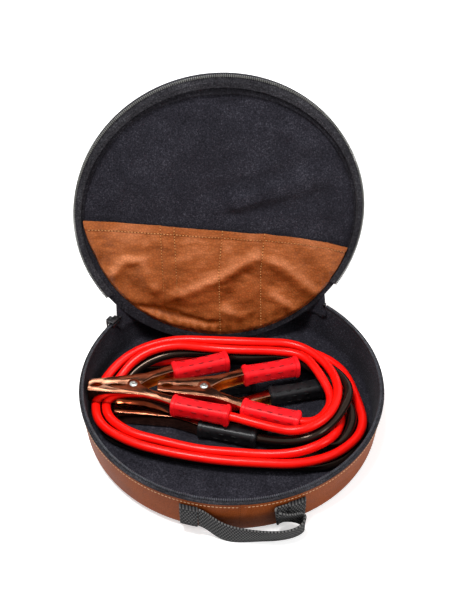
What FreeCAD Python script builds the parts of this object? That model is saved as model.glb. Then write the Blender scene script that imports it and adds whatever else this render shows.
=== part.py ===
import FreeCAD, Part
import Sketcher
import math
import os

# Jump leads in a round zip case: a shallow leather drum with a felt lining, its lid open,
# and two cables with four clamps coiled inside. Millimetres, +Z up, the case stands on z = 0
# with its middle on the Z axis, and its handle faces -Y.

os.makedirs("parts", exist_ok=True)
doc = FreeCAD.newDocument("jump_leads_case")
vec = FreeCAD.Vector
up = vec(0, 0, 1)

# Driving dimensions

dimensions = {
    # case body
    "case_radius": 150.0,
    "foot_radius": 146.0,
    "wall_height": 48.0,
    "edge_round": 12.0,
    "leather": 1.8,
    "felt": 1.4,
    "floor_board": 2.0,
    "seam_gap": 0.2,
    "lining_round": 8.0,
    "lining_drop": 4.0,
    "rear_wall_height": 34.0,
    "rear_cut_y": 98.0,
    "rear_cut_round": 8.0,
    # hinge of the lid
    "hinge_back": 103.0,
    "hinge_rise": 53.0,
    "open_angle": 103.3,
    # zip
    "zip_span": 263.0,
    "lid_zip_span": 250.0,
    "tape_thickness": 0.8,
    "base_tape_radius": 146.4,
    "base_tape_height": 8.0,
    "bead_width": 2.2,
    "bead_height": 1.8,
    "bead_gap": 0.4,
    "lid_tape_width": 10.0,
    # lid
    "lid_radius": 146.8,
    "lid_round": 5.0,
    "felt_set_back": 1.2,
    "binding_hole": 131.0,
    "binding_shift": 4.0,
    "binding_thickness": 2.0,
    "lid_felt": 1.5,
    "lid_board": 2.5,
    # pocket
    "pocket_radius": 130.6,
    "pocket_thickness": 1.6,
    "pocket_gap": 2.6,
    "pocket_edge_mid": 17.5,
    "pocket_slope": 0.179,
    "pocket_hem": 4.0,
    "pocket_seam": 1.6,
    "first_seam_x": -62.0,
    "second_seam_x": -48.0,
    "third_seam_x": -3.0,
    "fourth_seam_x": 41.0,
    # gusset between the cut-down rear wall and the lid
    "gusset_half_width": 96.0,
    "gusset_thickness": 1.6,
    "gusset_radius": 147.4,
    "gusset_inner_radius": 143.4,
    "gusset_sag": 6.0,
    "gusset_seat": 0.65,
    "gusset_lip": 4.0,
    # handle
    "strap_width": 24.0,
    "strap_thickness": 2.0,
    "tab_length": 16.0,
    "tab_thickness": 1.4,
    "tab_foot": 14.0,
    "left_tab_x": -52.0,
    "right_tab_x": 46.0,
    "strap_end_gap": 0.7,
    "strap_cut_left": -27.0,
    "strap_cut_right": 43.0,
    "strap_cut": 0.2,
    # zip slider
    "slider_length": 11.0,
    "slider_wall": 1.6,
    "slider_play": 0.4,
    "slider_park": 3.0,
    "pull_length": 12.0,
    "pull_width": 7.0,
    "pull_thickness": 1.4,
    "pull_pin": 1.2,
    "pull_arm": 0.8,
    "pull_reach": 4.0,
    "pull_stand_off": 1.1,
    "pull_drop": 2.7,
    "pull_window": 3.0,
    "pull_frame": 1.4,
    "pull_foot": 2.0,
    "loop_hole": 2.0,
    "loop_bar": 0.7,
    # end stops of the zip
    "stop_length": 2.4,
    "stop_depth": 3.2,
    "stop_height": 4.0,
    "stop_sink": 0.6,
    # clamps
    "clamp_width": 16.0,
    "plate": 1.0,
    "web": 1.3,
    "plate_gap": 0.2,
    "nose_reach": 46.0,
    "arm_reach": 38.0,
    "arm_offset": 22.0,
    "arm_slope": 15.3,
    "arm_depth": 10.0,
    "arm_in_grip": 46.0,
    "ear_radius": 6.5,
    "rivet_radius": 2.2,
    "rivet_play": 0.05,
    "rivet_head_radius": 4.0,
    "rivet_head_height": 1.3,
    "grip_length": 59.0,
    "grip_width": 16.6,
    "grip_depth": 18.4,
    "grip_round": 5.0,
    "grip_ring": 0.6,
    "grip_ring_length": 4.0,
    "grip_play": 0.15,
    "grip_room": 2.5,
    "spring_radius": 4.2,
    "spring_wire": 1.3,
    "spring_pitch": 2.0,
    "spring_turns": 3.0,
    "spring_lower_lean": 32.0,
    "spring_upper_lean": 20.0,
    "spring_lower_leg": 22.5,
    "spring_upper_leg": 18.0,
    # cables
    "cable_diameter": 9.0,
    "cable_in_grip": 8.0,
    "left_grip_run": 2.0,
    "right_grip_run": 7.0,
    "turn_back_radius": 9.0,
    "red_turn_x": -86.0,
    "red_turn_y": 69.0,
    "red_turn_rise": 15.0,
    "black_turn_x": -83.0,
    "black_turn_y": 71.0,
    "black_turn_rise": 5.0,
    "level_lift": 0.4,
}

sheet = doc.addObject("Spreadsheet::Sheet", "Sizes")
for row, (alias, number) in enumerate(dimensions.items(), start=1):
    sheet.set("A%d" % row, alias)
    sheet.set("B%d" % row, str(number))
    sheet.setAlias("B%d" % row, alias)
doc.recompute()


class Size:
    # A number together with the sheet expression that gives it, so that a sketch starts at
    # the right place and stays bound to the sheet.
    def __init__(self, number, text):
        self.number = number
        self.text = text

    def __add__(self, other):
        other = as_size(other)
        return Size(self.number + other.number, "(%s + %s)" % (self.text, other.text))

    def __sub__(self, other):
        other = as_size(other)
        return Size(self.number - other.number, "(%s - %s)" % (self.text, other.text))

    def __mul__(self, other):
        other = as_size(other)
        return Size(self.number * other.number, "(%s * %s)" % (self.text, other.text))

    def __truediv__(self, other):
        other = as_size(other)
        return Size(self.number / other.number, "(%s / %s)" % (self.text, other.text))

    def __neg__(self):
        return as_size(0) - self


def as_size(item):
    if isinstance(item, Size):
        return item
    return Size(float(item), "%g" % item)


def size(alias):
    return Size(float(sheet.get(alias)), "Sizes." + alias)


def number(alias):
    return float(sheet.get(alias))


pieces = []


def name_piece(piece, node):
    piece.Label = node
    pieces.append(piece)
    return piece


def bind(piece, **properties):
    for name, value in properties.items():
        piece.setExpression(name, as_size(value).text)


def origin_plane(body, role):
    for feature in body.Origin.OriginFeatures:
        if feature.Role == role:
            return feature
    raise RuntimeError("no plane " + role)


# Sketch outlines: each corner is (across, along) or (across, along, radius), where the radius
# is that of the arc to the next corner, positive when the arc turns anticlockwise.

def outline_sketch(body, name, role, corners):
    sketch = body.newObject("Sketcher::SketchObject", name)
    sketch.AttachmentSupport = [(origin_plane(body, role), "")]
    sketch.MapMode = "FlatFace"
    ends = []
    for index, corner in enumerate(corners):
        after = corners[(index + 1) % len(corners)]
        first = vec(as_size(corner[0]).number, as_size(corner[1]).number, 0)
        last = vec(as_size(after[0]).number, as_size(after[1]).number, 0)
        if len(corner) == 2:
            edge = sketch.addGeometry(Part.LineSegment(first, last), False)
            ends.append((edge, 1, 2))
            continue
        radius = as_size(corner[2]).number
        chord = last - first
        side = vec(-chord.y, chord.x, 0).normalize()
        reach = math.sqrt(max(radius * radius - chord.Length * chord.Length / 4, 0.0))
        turn = 1 if radius > 0 else -1
        centre = (first + last) * 0.5 + side * (reach * turn)
        middle = centre - side * (abs(radius) * turn)
        arc = Part.Arc(first, middle, last)
        edge = sketch.addGeometry(arc, False)
        ends.append((edge, 1, 2) if turn > 0 else (edge, 2, 1))
    for index, (edge, start, finish) in enumerate(ends):
        after = ends[(index + 1) % len(ends)]
        sketch.addConstraint(Sketcher.Constraint("Coincident", edge, finish, after[0], after[1]))
    for index, corner in enumerate(corners):
        edge, start, finish = ends[index]
        for label, kind, item, axis in (
            ("across", "DistanceX", corner[0], -2),
            ("along", "DistanceY", corner[1], -1),
        ):
            item = as_size(item)
            if item.number == 0:
                sketch.addConstraint(Sketcher.Constraint("PointOnObject", edge, start, axis))
                continue
            place = sketch.addConstraint(
                Sketcher.Constraint(kind, -1, 1, edge, start, item.number)
            )
            sketch.renameConstraint(place, "%s%d" % (label, index))
            sketch.setExpression("Constraints.%s%d" % (label, index), item.text)
        if len(corner) == 3:
            radius = as_size(corner[2])
            if radius.number < 0:
                radius = -radius
            place = sketch.addConstraint(Sketcher.Constraint("Radius", edge, radius.number))
            sketch.renameConstraint(place, "round%d" % index)
            sketch.setExpression("Constraints.round%d" % index, radius.text)
    return sketch


def turned_body(node, role, corners, angle=None):
    # A body turned about the Z axis. An angle makes it a part turn, centred on the plane.
    body = name_piece(doc.addObject("PartDesign::Body", node), node)
    sketch = outline_sketch(body, node + "_outline", role, corners)
    turn = body.newObject("PartDesign::Revolution", node + "_turn")
    turn.Profile = sketch
    turn.ReferenceAxis = (sketch, ["V_Axis"])
    if angle is None:
        turn.Angle = 360.0
    else:
        turn.Midplane = True
        turn.setExpression("Angle", angle.text)
    return body


def cut_through(body, name, role, corners):
    sketch = outline_sketch(body, name + "_outline", role, corners)
    cut = body.newObject("PartDesign::Pocket", name)
    cut.Profile = sketch
    cut.Type = "ThroughAll"
    cut.Midplane = True
    return cut


def rounded(across, along, radius, first, last, chords):
    # corners of a round of short chords about a centre, between two angles
    corners = []
    for step in range(chords + 1):
        angle = math.radians(first + (last - first) * step / chords)
        corners.append((across + radius * math.cos(angle), along + radius * math.sin(angle)))
    return corners


# Case body

leather = size("leather")
felt = size("felt")
gap = size("seam_gap")
foot_flat = size("foot_radius") - size("edge_round")
floor_top = leather + size("floor_board")
wall_lean = (size("case_radius") - size("foot_radius")) / (size("wall_height") - size("edge_round"))


def wall_radius(height):
    # outer radius of the leather wall at a height above its rounded foot
    return size("foot_radius") + wall_lean * (height - size("edge_round"))


def rear_cut_corners(height):
    # side view of what is cut off the wall behind the zip's ends
    front = size("rear_cut_y")
    corner = size("rear_cut_round")
    return [
        (front, height + corner, corner),
        (front + corner, height),
        (size("case_radius") * 1.2, height),
        (size("case_radius") * 1.2, size("wall_height") * 1.5),
        (front, size("wall_height") * 1.5),
    ]


base_shell = turned_body("base_shell", "XZ_Plane", [
    (0, 0),
    *rounded(foot_flat, size("edge_round"), size("edge_round"), -90, 0, 3),
    (size("case_radius"), size("wall_height")),
    (size("case_radius") - leather, size("wall_height")),
    *rounded(foot_flat, size("edge_round"), size("edge_round") - leather, 0, -90, 2),
    (0, leather),
])
cut_through(base_shell, "rear_wall_cut", "YZ_Plane", rear_cut_corners(size("rear_wall_height")))

base_floor_board = name_piece(doc.addObject("Part::Cylinder", "base_floor_board"), "base_floor_board")
bind(base_floor_board, Radius=foot_flat, Height=size("floor_board"))
base_floor_board.setExpression("Placement.Base.z", leather.text)

lining_height = size("wall_height") - size("lining_drop")
lining_foot = size("foot_radius") - leather - gap
lining_round = size("lining_round")
lining_turn = floor_top + lining_round
lining_rim = wall_radius(lining_height) - leather - gap
base_lining = turned_body("base_lining", "XZ_Plane", [
    (0, floor_top),
    *rounded(lining_foot - lining_round, lining_turn, lining_round, -90, 0, 2),
    (lining_rim, lining_height),
    (lining_rim - felt, lining_height),
    *rounded(lining_foot - lining_round, lining_turn, lining_round - felt, 0, -90, 3),
    (0, floor_top + felt),
])
cut_through(base_lining, "rear_lining_cut", "YZ_Plane",
            rear_cut_corners(size("rear_wall_height") - size("lining_drop") / 4))

# Zip of the case body: a tape standing inside the rim, with the row of teeth on it

tape = size("tape_thickness")
tape_out = size("base_tape_radius") + tape
base_bead_foot = size("wall_height") + tape
base_bead_top = base_bead_foot + size("bead_height")
base_zip_tape = turned_body("base_zip_tape", "YZ_Plane", [
    (-tape_out, base_bead_foot - size("base_tape_height") / 2),
    (-tape_out, base_bead_foot),
    (-size("base_tape_radius"), base_bead_foot),
    (-size("base_tape_radius"), base_bead_foot - size("base_tape_height") / 2),
], size("zip_span"))

bead_in = size("base_tape_radius") + tape / 2 - size("bead_width") / 2
bead_out = bead_in + size("bead_width")
base_zip_teeth = turned_body("base_zip_teeth", "YZ_Plane", [
    (-bead_out, base_bead_foot),
    (-bead_out, base_bead_top),
    (-bead_in, base_bead_top),
    (-bead_in, base_bead_foot),
], size("zip_span"))

# Lid, drawn closed and then turned open about the hinge

lid_bead_foot = base_bead_top + size("bead_gap")
lid_bead_top = lid_bead_foot + size("bead_height")
lid_tape_low = lid_bead_top - tape
slider_room = size("slider_wall") + size("slider_play") * 2
binding_low = lid_bead_top + slider_room
binding_top = binding_low + size("binding_thickness")
felt_top = binding_top + size("lid_felt")
board_top = felt_top + size("lid_board")
lid_top = board_top + leather
lid_round = size("lid_round")

opening = FreeCAD.Placement(
    vec(0, 0, 0),
    FreeCAD.Rotation(vec(1, 0, 0), -number("open_angle")),
    vec(0, number("hinge_back"), number("hinge_rise")),
)


def open_up(piece):
    piece.Placement = opening.multiply(piece.Placement)
    return piece


lid_shell = turned_body("lid_shell", "XZ_Plane", [
    (0, board_top),
    *rounded(size("lid_radius") - lid_round, lid_top - lid_round, lid_round - leather, 90, 0, 2),
    (size("lid_radius") - leather, binding_top),
    (size("lid_radius"), binding_top),
    *rounded(size("lid_radius") - lid_round, lid_top - lid_round, lid_round, 0, 90, 3),
    (0, lid_top),
])

# the tape's inner edge stands up to the binding, which leaves room for the slider's bridge
tape_edge = size("lid_tape_width") - bead_in
lid_zip_tape = turned_body("lid_zip_tape", "YZ_Plane", [
    (-bead_in, lid_tape_low),
    (-bead_in, lid_bead_top),
    (tape_edge, lid_bead_top),
    (tape_edge, binding_low),
    (tape_edge + tape, binding_low),
    (tape_edge + tape, lid_tape_low),
], size("lid_zip_span"))

lid_zip_teeth = turned_body("lid_zip_teeth", "YZ_Plane", [
    (-bead_out, lid_bead_foot),
    (-bead_out, lid_bead_top),
    (-bead_in, lid_bead_top),
    (-bead_in, lid_bead_foot),
], size("lid_zip_span"))

inner_lid_radius = size("lid_radius") - leather - gap


def lid_disc(node, low, thickness, radius):
    disc = name_piece(doc.addObject("Part::Cylinder", node), node)
    bind(disc, Radius=radius, Height=thickness)
    disc.Placement = FreeCAD.Placement(vec(0, 0, low.number), FreeCAD.Rotation())
    return disc


lid_lining = lid_disc("lid_lining", binding_top, size("lid_felt"), inner_lid_radius - size("felt_set_back"))
lid_board = lid_disc("lid_board", felt_top, size("lid_board"), size("lid_radius") - lid_round - gap)

binding_ring = doc.addObject("Part::Cylinder", "binding_ring")
bind(binding_ring, Radius=size("lid_radius"), Height=size("binding_thickness"))
binding_ring.Placement.Base = vec(0, 0, binding_low.number)
binding_hole = doc.addObject("Part::Cylinder", "binding_opening")
bind(binding_hole, Radius=size("binding_hole"), Height=size("binding_thickness") * 3)
binding_hole.Placement.Base = vec(
    0, number("binding_shift"), binding_low.number - number("binding_thickness"))
lid_binding = name_piece(doc.addObject("Part::Cut", "lid_binding"), "lid_binding")
lid_binding.Base = binding_ring
lid_binding.Tool = binding_hole


def solid_piece(node, shape):
    piece = name_piece(doc.addObject("Part::Feature", node), node)
    piece.Shape = shape
    return piece


def prism(points, low, high, chords=None):
    # A straight prism over a flat outline of (x, y) corners. A point with four numbers ends an arc
    # through a middle point, which is drawn as so many chords if that is asked.
    edges = []
    here = vec(points[0][0], points[0][1], 0)
    first = here
    for step in list(points[1:]) + [points[0]]:
        if len(step) == 4:
            middle = vec(step[0], step[1], 0)
            there = vec(step[2], step[3], 0)
            arc = Part.Arc(here, middle, there).toShape()
            if chords:
                stations = arc.discretize(chords + 1)
                stations[0] = here
                stations[-1] = there
                edges += [Part.LineSegment(a, b).toShape() for a, b in zip(stations, stations[1:])]
            else:
                edges.append(arc)
        else:
            there = vec(step[0], step[1], 0)
            if (there - here).Length < 1e-6:
                continue
            edges.append(Part.LineSegment(here, there).toShape())
        here = there
    if (here - first).Length > 1e-6:
        edges.append(Part.LineSegment(here, first).toShape())
    face = Part.Face(Part.Wire(edges))
    face.translate(vec(0, 0, low))
    return face.extrude(vec(0, 0, high - low))


# Pocket: a leather panel sewn along its curved edge and along four seams, open at its top edge

def pocket_edge(x):
    return number("pocket_edge_mid") + number("pocket_slope") * x


def pocket_outline(radius, drop):
    # Disc segment behind the sloping top edge; the disc is centred like the binding's opening.
    centre = number("binding_shift")
    slope = number("pocket_slope")
    start = number("pocket_edge_mid") - drop - centre
    a = 1 + slope * slope
    b = 2 * slope * start
    c = start * start - radius * radius
    root = math.sqrt(b * b - 4 * a * c)
    left = (-b - root) / (2 * a)
    right = (-b + root) / (2 * a)
    left_y = start + slope * left + centre
    right_y = start + slope * right + centre
    return [(left, left_y), (right, right_y), (0, centre + radius, left, left_y)]


pocket_high = binding_top.number - number("seam_gap")
pocket_low = pocket_high - number("pocket_gap") - number("pocket_thickness")
pocket_radius = number("pocket_radius")
pocket_body = prism(pocket_outline(pocket_radius, 0), pocket_low, pocket_high)
pocket_space = prism(
    pocket_outline(pocket_radius - number("pocket_hem"), number("pocket_hem")),
    pocket_low + number("pocket_thickness"), pocket_high + number("pocket_gap"))
half_seam = number("pocket_seam") / 2
for seam_name in ("first_seam_x", "second_seam_x", "third_seam_x", "fourth_seam_x"):
    seam_x = number(seam_name)
    seam = Part.makeBox(2 * half_seam, 2 * pocket_radius, number("pocket_gap") * 4,
                        vec(seam_x - half_seam, -pocket_radius, pocket_low))
    pocket_space = pocket_space.cut(seam)
lid_pocket = solid_piece("lid_pocket", pocket_body.cut(pocket_space))

for piece in (lid_shell, lid_zip_tape, lid_zip_teeth, lid_lining, lid_board, lid_binding, lid_pocket):
    open_up(piece)


def skin(rings):
    # a solid between rings of as many corners each, its sides in flat triangles
    faces = [Part.Face(Part.makePolygon(ring + ring[:1])) for ring in (rings[0], rings[-1])]
    for near, far in zip(rings, rings[1:]):
        for here in range(len(near)):
            there = (here + 1) % len(near)
            for corners in ((near[here], near[there], far[there]), (near[here], far[there], far[here])):
                faces.append(Part.Face(Part.makePolygon(list(corners) + [corners[0]])))
    solid = Part.Solid(Part.makeShell(faces))
    if not solid.isValid():
        raise RuntimeError("the skin is not closed")
    if solid.Volume < 0:
        solid.reverse()
    return solid


# Gusset: the strip of leather and felt that joins the cut-down rear wall to the lid's back edge

def lid_edge_at(x):
    # lowest point of the open lid's back edge over a station along the hinge
    y = math.sqrt(number("lid_radius") ** 2 - x * x)
    return opening.multVec(vec(x, y, lid_top.number - number("lid_round")))


def gusset_section(x):
    thick = number("gusset_thickness")
    wall = math.sqrt(number("gusset_radius") ** 2 - x * x)
    inner = math.sqrt(number("gusset_inner_radius") ** 2 - x * x)
    wall_z = number("rear_wall_height") + gap.number
    edge = lid_edge_at(x)
    edge_z = edge.z - number("gusset_seat") - thick
    sag = number("gusset_sag") * (1 - (x / number("case_radius")) ** 2)
    middle_y = (inner + edge.y) / 2
    middle_z = (wall_z + edge_z) / 2 - sag
    lip_y = edge.y + min(number("gusset_lip"), (inner - edge.y) / 4)
    low = [(wall, wall_z), (inner, wall_z), (middle_y, middle_z), (lip_y, edge_z), (edge.y, edge_z)]
    return [vec(x, y, z) for y, z in low] + [vec(x, y, z + thick) for y, z in reversed(low)]


gusset_stations = 12
gusset_steps = [
    number("gusset_half_width") * (2.0 * station / gusset_stations - 1)
    for station in range(gusset_stations + 1)
]
hinge_gusset = solid_piece("hinge_gusset", skin([gusset_section(x) for x in gusset_steps]))

# Tubes along straight runs joined by tangent arcs

def turn_at(points, index):
    return (points[index] - points[index - 1]).getAngle(points[index + 1] - points[index])


def smooth_wire(points, report=None):
    least_turn = math.radians(0.3)
    bends = [index for index in range(1, len(points) - 1) if turn_at(points, index) > least_turn]
    points = [points[0]] + [points[index] for index in bends] + [points[-1]]
    edges = []
    here = points[0]
    tightest = 1e9
    for index in range(1, len(points) - 1):
        corner = points[index]
        before = (points[index - 1] - corner)
        after = (points[index + 1] - corner)
        turn = turn_at(points, index)
        run = min(before.Length, after.Length)
        trim = 0.45 * run
        radius = trim / math.tan(turn / 2)
        tightest = min(tightest, radius)
        inward = before.normalize() * trim
        outward = after.normalize() * trim
        bisector = (inward + outward).normalize()
        depth = radius / math.cos(turn / 2) - radius
        enter = corner + inward
        leave = corner + outward
        edges.append(Part.LineSegment(here, enter).toShape())
        edges.append(Part.Arc(enter, corner + bisector * depth, leave).toShape())
        here = leave
    edges.append(Part.LineSegment(here, points[-1]).toShape())
    wire = Part.Wire(edges)
    if report:
        print("%s: length %.0f, tightest arc %.1f" % (report, wire.Length, tightest))
    return wire


def along_wire(wire, outline, step, standing=False):
    # A solid with flat sides along a wire: the outline, (sideways, upward) corners, stands square
    # to the wire, or upright, at both ends of every straight run and at least every so many
    # degrees of an arc.
    places = []
    for edge in wire.OrderedEdges:
        first, last = edge.FirstParameter, edge.LastParameter
        turn = edge.tangentAt(first).getAngle(edge.tangentAt(last))
        chords = max(1, int(math.ceil(math.degrees(turn) / step)))
        for chord in range(chords):
            place = first + (last - first) * chord / chords
            places.append((edge.valueAt(place), edge.tangentAt(place)))
    places.append((edge.valueAt(last), edge.tangentAt(last)))
    sections = []
    for middle, heading in places:
        sideways = up.cross(heading).normalize()
        upright = up if standing else heading.cross(sideways)
        sections.append([middle + sideways * across + upright * rise for across, rise in outline])
    if standing:
        return skin(sections)
    rings = [Part.makePolygon(ring + ring[:1]) for ring in sections]
    solid = Part.makeLoft(rings, True, True)
    if not solid.isValid():
        raise RuntimeError("the solid along the wire is not valid")
    return solid


def cable_tube(points, diameter, report):
    # A tube of eight flats, its corners on the cable's round; its volume is set against its length.
    wire = smooth_wire(points, report)
    outline = []
    for side in range(cable_sides):
        angle = math.radians(360.0 * (side + 0.5) / cable_sides)
        outline.append((diameter / 2 * math.cos(angle), diameter / 2 * math.sin(angle)))
    tube = along_wire(wire, outline, cable_step)
    area = cable_sides / 2 * math.sin(2 * math.pi / cable_sides) * (diameter / 2) ** 2
    print("%s: volume over section times length %.4f" % (report, tube.Volume / (area * wire.Length)))
    return tube, wire


# Handle: a webbing strap that stands on its edge, slack in front of the wall, and two sewn tabs

def wall_point(x, z, stand_off):
    radius = wall_radius(as_size(z)).number + stand_off
    return -math.sqrt(radius * radius - x * x)


strap = number("strap_thickness")
strap_step = 24.0
strap_width = number("strap_width")
tab = number("tab_thickness")
tab_height = strap_width + 1.0


def sewn_tab(node, middle_x):
    # A box-stitched patch over the strap's end, lying on the curved wall.
    half = number("tab_length") / 2
    foot = number("tab_foot")
    outer = number("case_radius") + gap.number
    slab = Part.makeCylinder(outer + strap + tab, tab_height, vec(0, 0, foot))
    slab = slab.cut(Part.makeCylinder(outer + strap, tab_height * 3, vec(0, 0, foot - tab_height)))
    window = Part.makeBox(2 * half, outer, tab_height * 3,
                          vec(middle_x - half, -outer * 1.2, foot - tab_height))
    patch = slab.common(window)
    end = Part.makeCylinder(outer + strap, tab_height - 1, vec(0, 0, foot + 0.5))
    inner = Part.makeCone(wall_radius(as_size(foot - 5)).number + gap.number,
                          wall_radius(as_size(foot + tab_height + 5)).number + gap.number,
                          tab_height + 10, vec(0, 0, foot - 5))
    end = end.cut(inner).common(window)
    return solid_piece(node, patch.fuse(end).removeSplitter())


handle_tab_left = sewn_tab("handle_tab_left", number("left_tab_x"))
handle_tab_right = sewn_tab("handle_tab_right", number("right_tab_x"))

strap_out = number("case_radius") + gap.number + strap / 2
left_end = number("left_tab_x") + number("tab_length") / 2 + number("strap_end_gap")
right_end = number("right_tab_x") - number("tab_length") / 2 - number("strap_end_gap")
strap_high = number("tab_foot") + 0.5 + strap_width / 2
strap_low = strap_width / 2 + gap.number


def on_wall(x):
    return -math.sqrt(strap_out * strap_out - x * x)


strap_route = [
    vec(left_end, on_wall(left_end), strap_high),
    vec(left_end + 4, on_wall(left_end + 4) - 0.5, strap_high - 0.4),
    vec(left_end + 10, on_wall(left_end + 10) - 5.5, strap_high - 7),
    vec(left_end + 18, -159.5, strap_low + 2.5),
    vec(left_end + 34, -166, strap_low + 0.4),
    vec(4, -168.5, strap_low),
    vec(24, -167.6, strap_low),
    vec(38, -163.2, strap_low + 0.4),
    vec(47, -158.4, strap_low + 1.5),
    vec(52.5, -153, strap_low + 3.5),
    vec(48, -149.2, strap_low + 5.5),
    vec(38, -150.9, strap_high - 6),
    vec(29, -153.2, strap_high - 3),
    vec(23.5, -153.6, strap_high - 1.5),
    vec(22.6, -150.6, strap_high - 1),
    vec(right_end - 8.5, on_wall(right_end - 8.5) + 0.3, strap_high - 0.3),
    vec(right_end, on_wall(right_end), strap_high),
]
strap_wire = smooth_wire(strap_route, "handle strap")
strap_outline = [
    (strap / 2, strap_width / 2), (-strap / 2, strap_width / 2),
    (-strap / 2, -strap_width / 2), (strap / 2, -strap_width / 2),
]
whole_strap = along_wire(strap_wire, strap_outline, strap_step, standing=True)

# The strap is parted into two sewn ends and the free length between them, which swings up.
strap_cut = number("strap_cut") / 2
cut_left = number("strap_cut_left")
cut_right = number("strap_cut_right")
fold_front = -155.5
beyond = 60.0
deep = 4 * strap_width
free_space = Part.makeBox(cut_right - cut_left - 2 * strap_cut, beyond, deep,
                          vec(cut_left + strap_cut, fold_front - beyond, -strap_width))
left_space = Part.makeBox(beyond, 2 * beyond, deep,
                          vec(cut_left - strap_cut - beyond, fold_front - beyond, -strap_width))
right_space = Part.makeBox(beyond, 2 * beyond, deep,
                           vec(cut_right + strap_cut, fold_front - beyond, -strap_width))
fold_space = Part.makeBox(beyond, beyond, deep,
                          vec(cut_right + strap_cut - beyond, fold_front, -strap_width))
handle_strap = solid_piece("handle_strap", whole_strap.common(free_space))
handle_end_left = solid_piece("handle_end_left", whole_strap.common(left_space))
handle_end_right = solid_piece(
    "handle_end_right", whole_strap.common(right_space.fuse(fold_space)))

# Zip end stops, slider and pull. The slider is drawn at the front of the ring and turned to
# the left end of the zip, where it is parked.

bead_middle = (bead_in + bead_out) / 2
park_angle = number("zip_span") / 2 - number("slider_park")
stop_length = number("stop_length")
stop_depth = number("stop_depth")
stop_turn = 0.6
stops = []
for side in (-1, 1):
    stop = Part.makeBox(stop_length, stop_depth, number("stop_height"),
                        vec(-stop_length / 2, -bead_middle.number - stop_depth / 2,
                            base_bead_foot.number - number("stop_sink")))
    stop.rotate(vec(0, 0, 0), up, side * (number("zip_span") / 2 + stop_turn))
    stops.append(stop)
zip_end_stops = solid_piece("zip_end_stops", Part.makeCompound(stops))

play = number("slider_play")
slider_wall = number("slider_wall")
half_bead = number("bead_width") / 2
slide_half = number("slider_length") / 2
slider_front = bead_middle.number + half_bead + play
slider_back = bead_middle.number - half_bead - play
slider_top = lid_bead_top.number + play + slider_wall
slider_foot = number("wall_height") + play
plate_out = Part.makeBox(2 * slide_half, slider_wall, slider_top - slider_foot,
                         vec(-slide_half, -slider_front - slider_wall, slider_foot))
plate_in = Part.makeBox(2 * slide_half, slider_wall, slider_top - slider_foot + 2,
                        vec(-slide_half, -slider_back, slider_foot - 2))
bridge = Part.makeBox(2 * slide_half, slider_front - slider_back, slider_wall,
                      vec(-slide_half, -slider_front, slider_top - slider_wall))
tape_slot = Part.makeBox(4 * slide_half, 3 * slider_wall, number("tape_thickness") + 2 * play,
                         vec(-2 * slide_half, -slider_back - slider_wall / 2,
                             lid_tape_low.number - play))
# The pull's pin turns in a loop on the slider's outer plate; the pin is clear of the plate by more
# than the pull's arms reach behind it.
pin = number("pull_pin") / 2
stand_off = number("pull_stand_off")
pull_arm = number("pull_arm")
pull_width = number("pull_width")
pull_axis_y = -slider_front - slider_wall - stand_off
pull_axis_z = slider_top - number("pull_drop")
loop_width = pull_width - 2 * (pull_arm + play)
loop_gap = 0.15
hole_reach = pin + loop_gap
half_hole = number("loop_hole") / 2
loop_reach = hole_reach + number("loop_bar")
half_loop = half_hole + number("loop_bar")
loop_block = Part.makeBox(loop_width, loop_reach + stand_off, 2 * half_loop,
                          vec(-loop_width / 2, pull_axis_y - loop_reach, pull_axis_z - half_loop))
loop_hole = Part.makeBox(2 * loop_width, hole_reach + stand_off, 2 * half_hole,
                         vec(-loop_width, pull_axis_y - hole_reach, pull_axis_z - half_hole))
slider_shape = plate_out.fuse([plate_in, bridge, loop_block]).cut(tape_slot).cut(loop_hole)
slider_shape = slider_shape.removeSplitter()

arm_length = number("pull_reach")
pull_pin = Part.makeCylinder(pin, pull_width, vec(-pull_width / 2, pull_axis_y, pull_axis_z), vec(1, 0, 0))
pull_plate = Part.makeBox(pull_width, number("pull_thickness"), number("pull_length") + pin,
                          vec(-pull_width / 2, pull_axis_y - arm_length,
                              pull_axis_z - number("pull_length")))
arms = [
    Part.makeBox(pull_arm, arm_length + pin, 2 * pin,
                 vec(side * (pull_width - pull_arm) / 2 - pull_arm / 2, pull_axis_y - arm_length,
                     pull_axis_z - pin))
    for side in (-1, 1)
]
frame = number("pull_frame")
pull_window = Part.makeBox(pull_width - 2 * frame, 2 * number("pull_thickness"), number("pull_window"),
                           vec(-pull_width / 2 + frame, pull_axis_y - arm_length - frame / 2,
                               pull_axis_z - number("pull_length") + number("pull_foot")))
pull_shape = pull_plate.fuse([pull_pin] + arms).cut(pull_window)

for shape in (slider_shape, pull_shape):
    shape.rotate(vec(0, 0, 0), up, -park_angle)
zip_slider = solid_piece("zip_slider", slider_shape)
zip_pull = solid_piece("zip_pull", pull_shape)

# Clamp halves: stamped channels on one rivet, drawn with the rivet on the Z axis, the nose
# towards -X and the handles towards +X

slope = math.tan(math.radians(number("arm_slope")))
nose = number("nose_reach")
reach = number("arm_reach")
offset = number("arm_offset")
half_arm = number("arm_depth") / 2 / math.cos(math.radians(number("arm_slope")))
arm_end = reach + number("arm_in_grip")
ear = number("ear_radius")
parting = 0.15
outline_chords = 3
channel_chords = 2
spring_step = 45.0


def arm_centre(x):
    return offset + slope * (x - reach)


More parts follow.
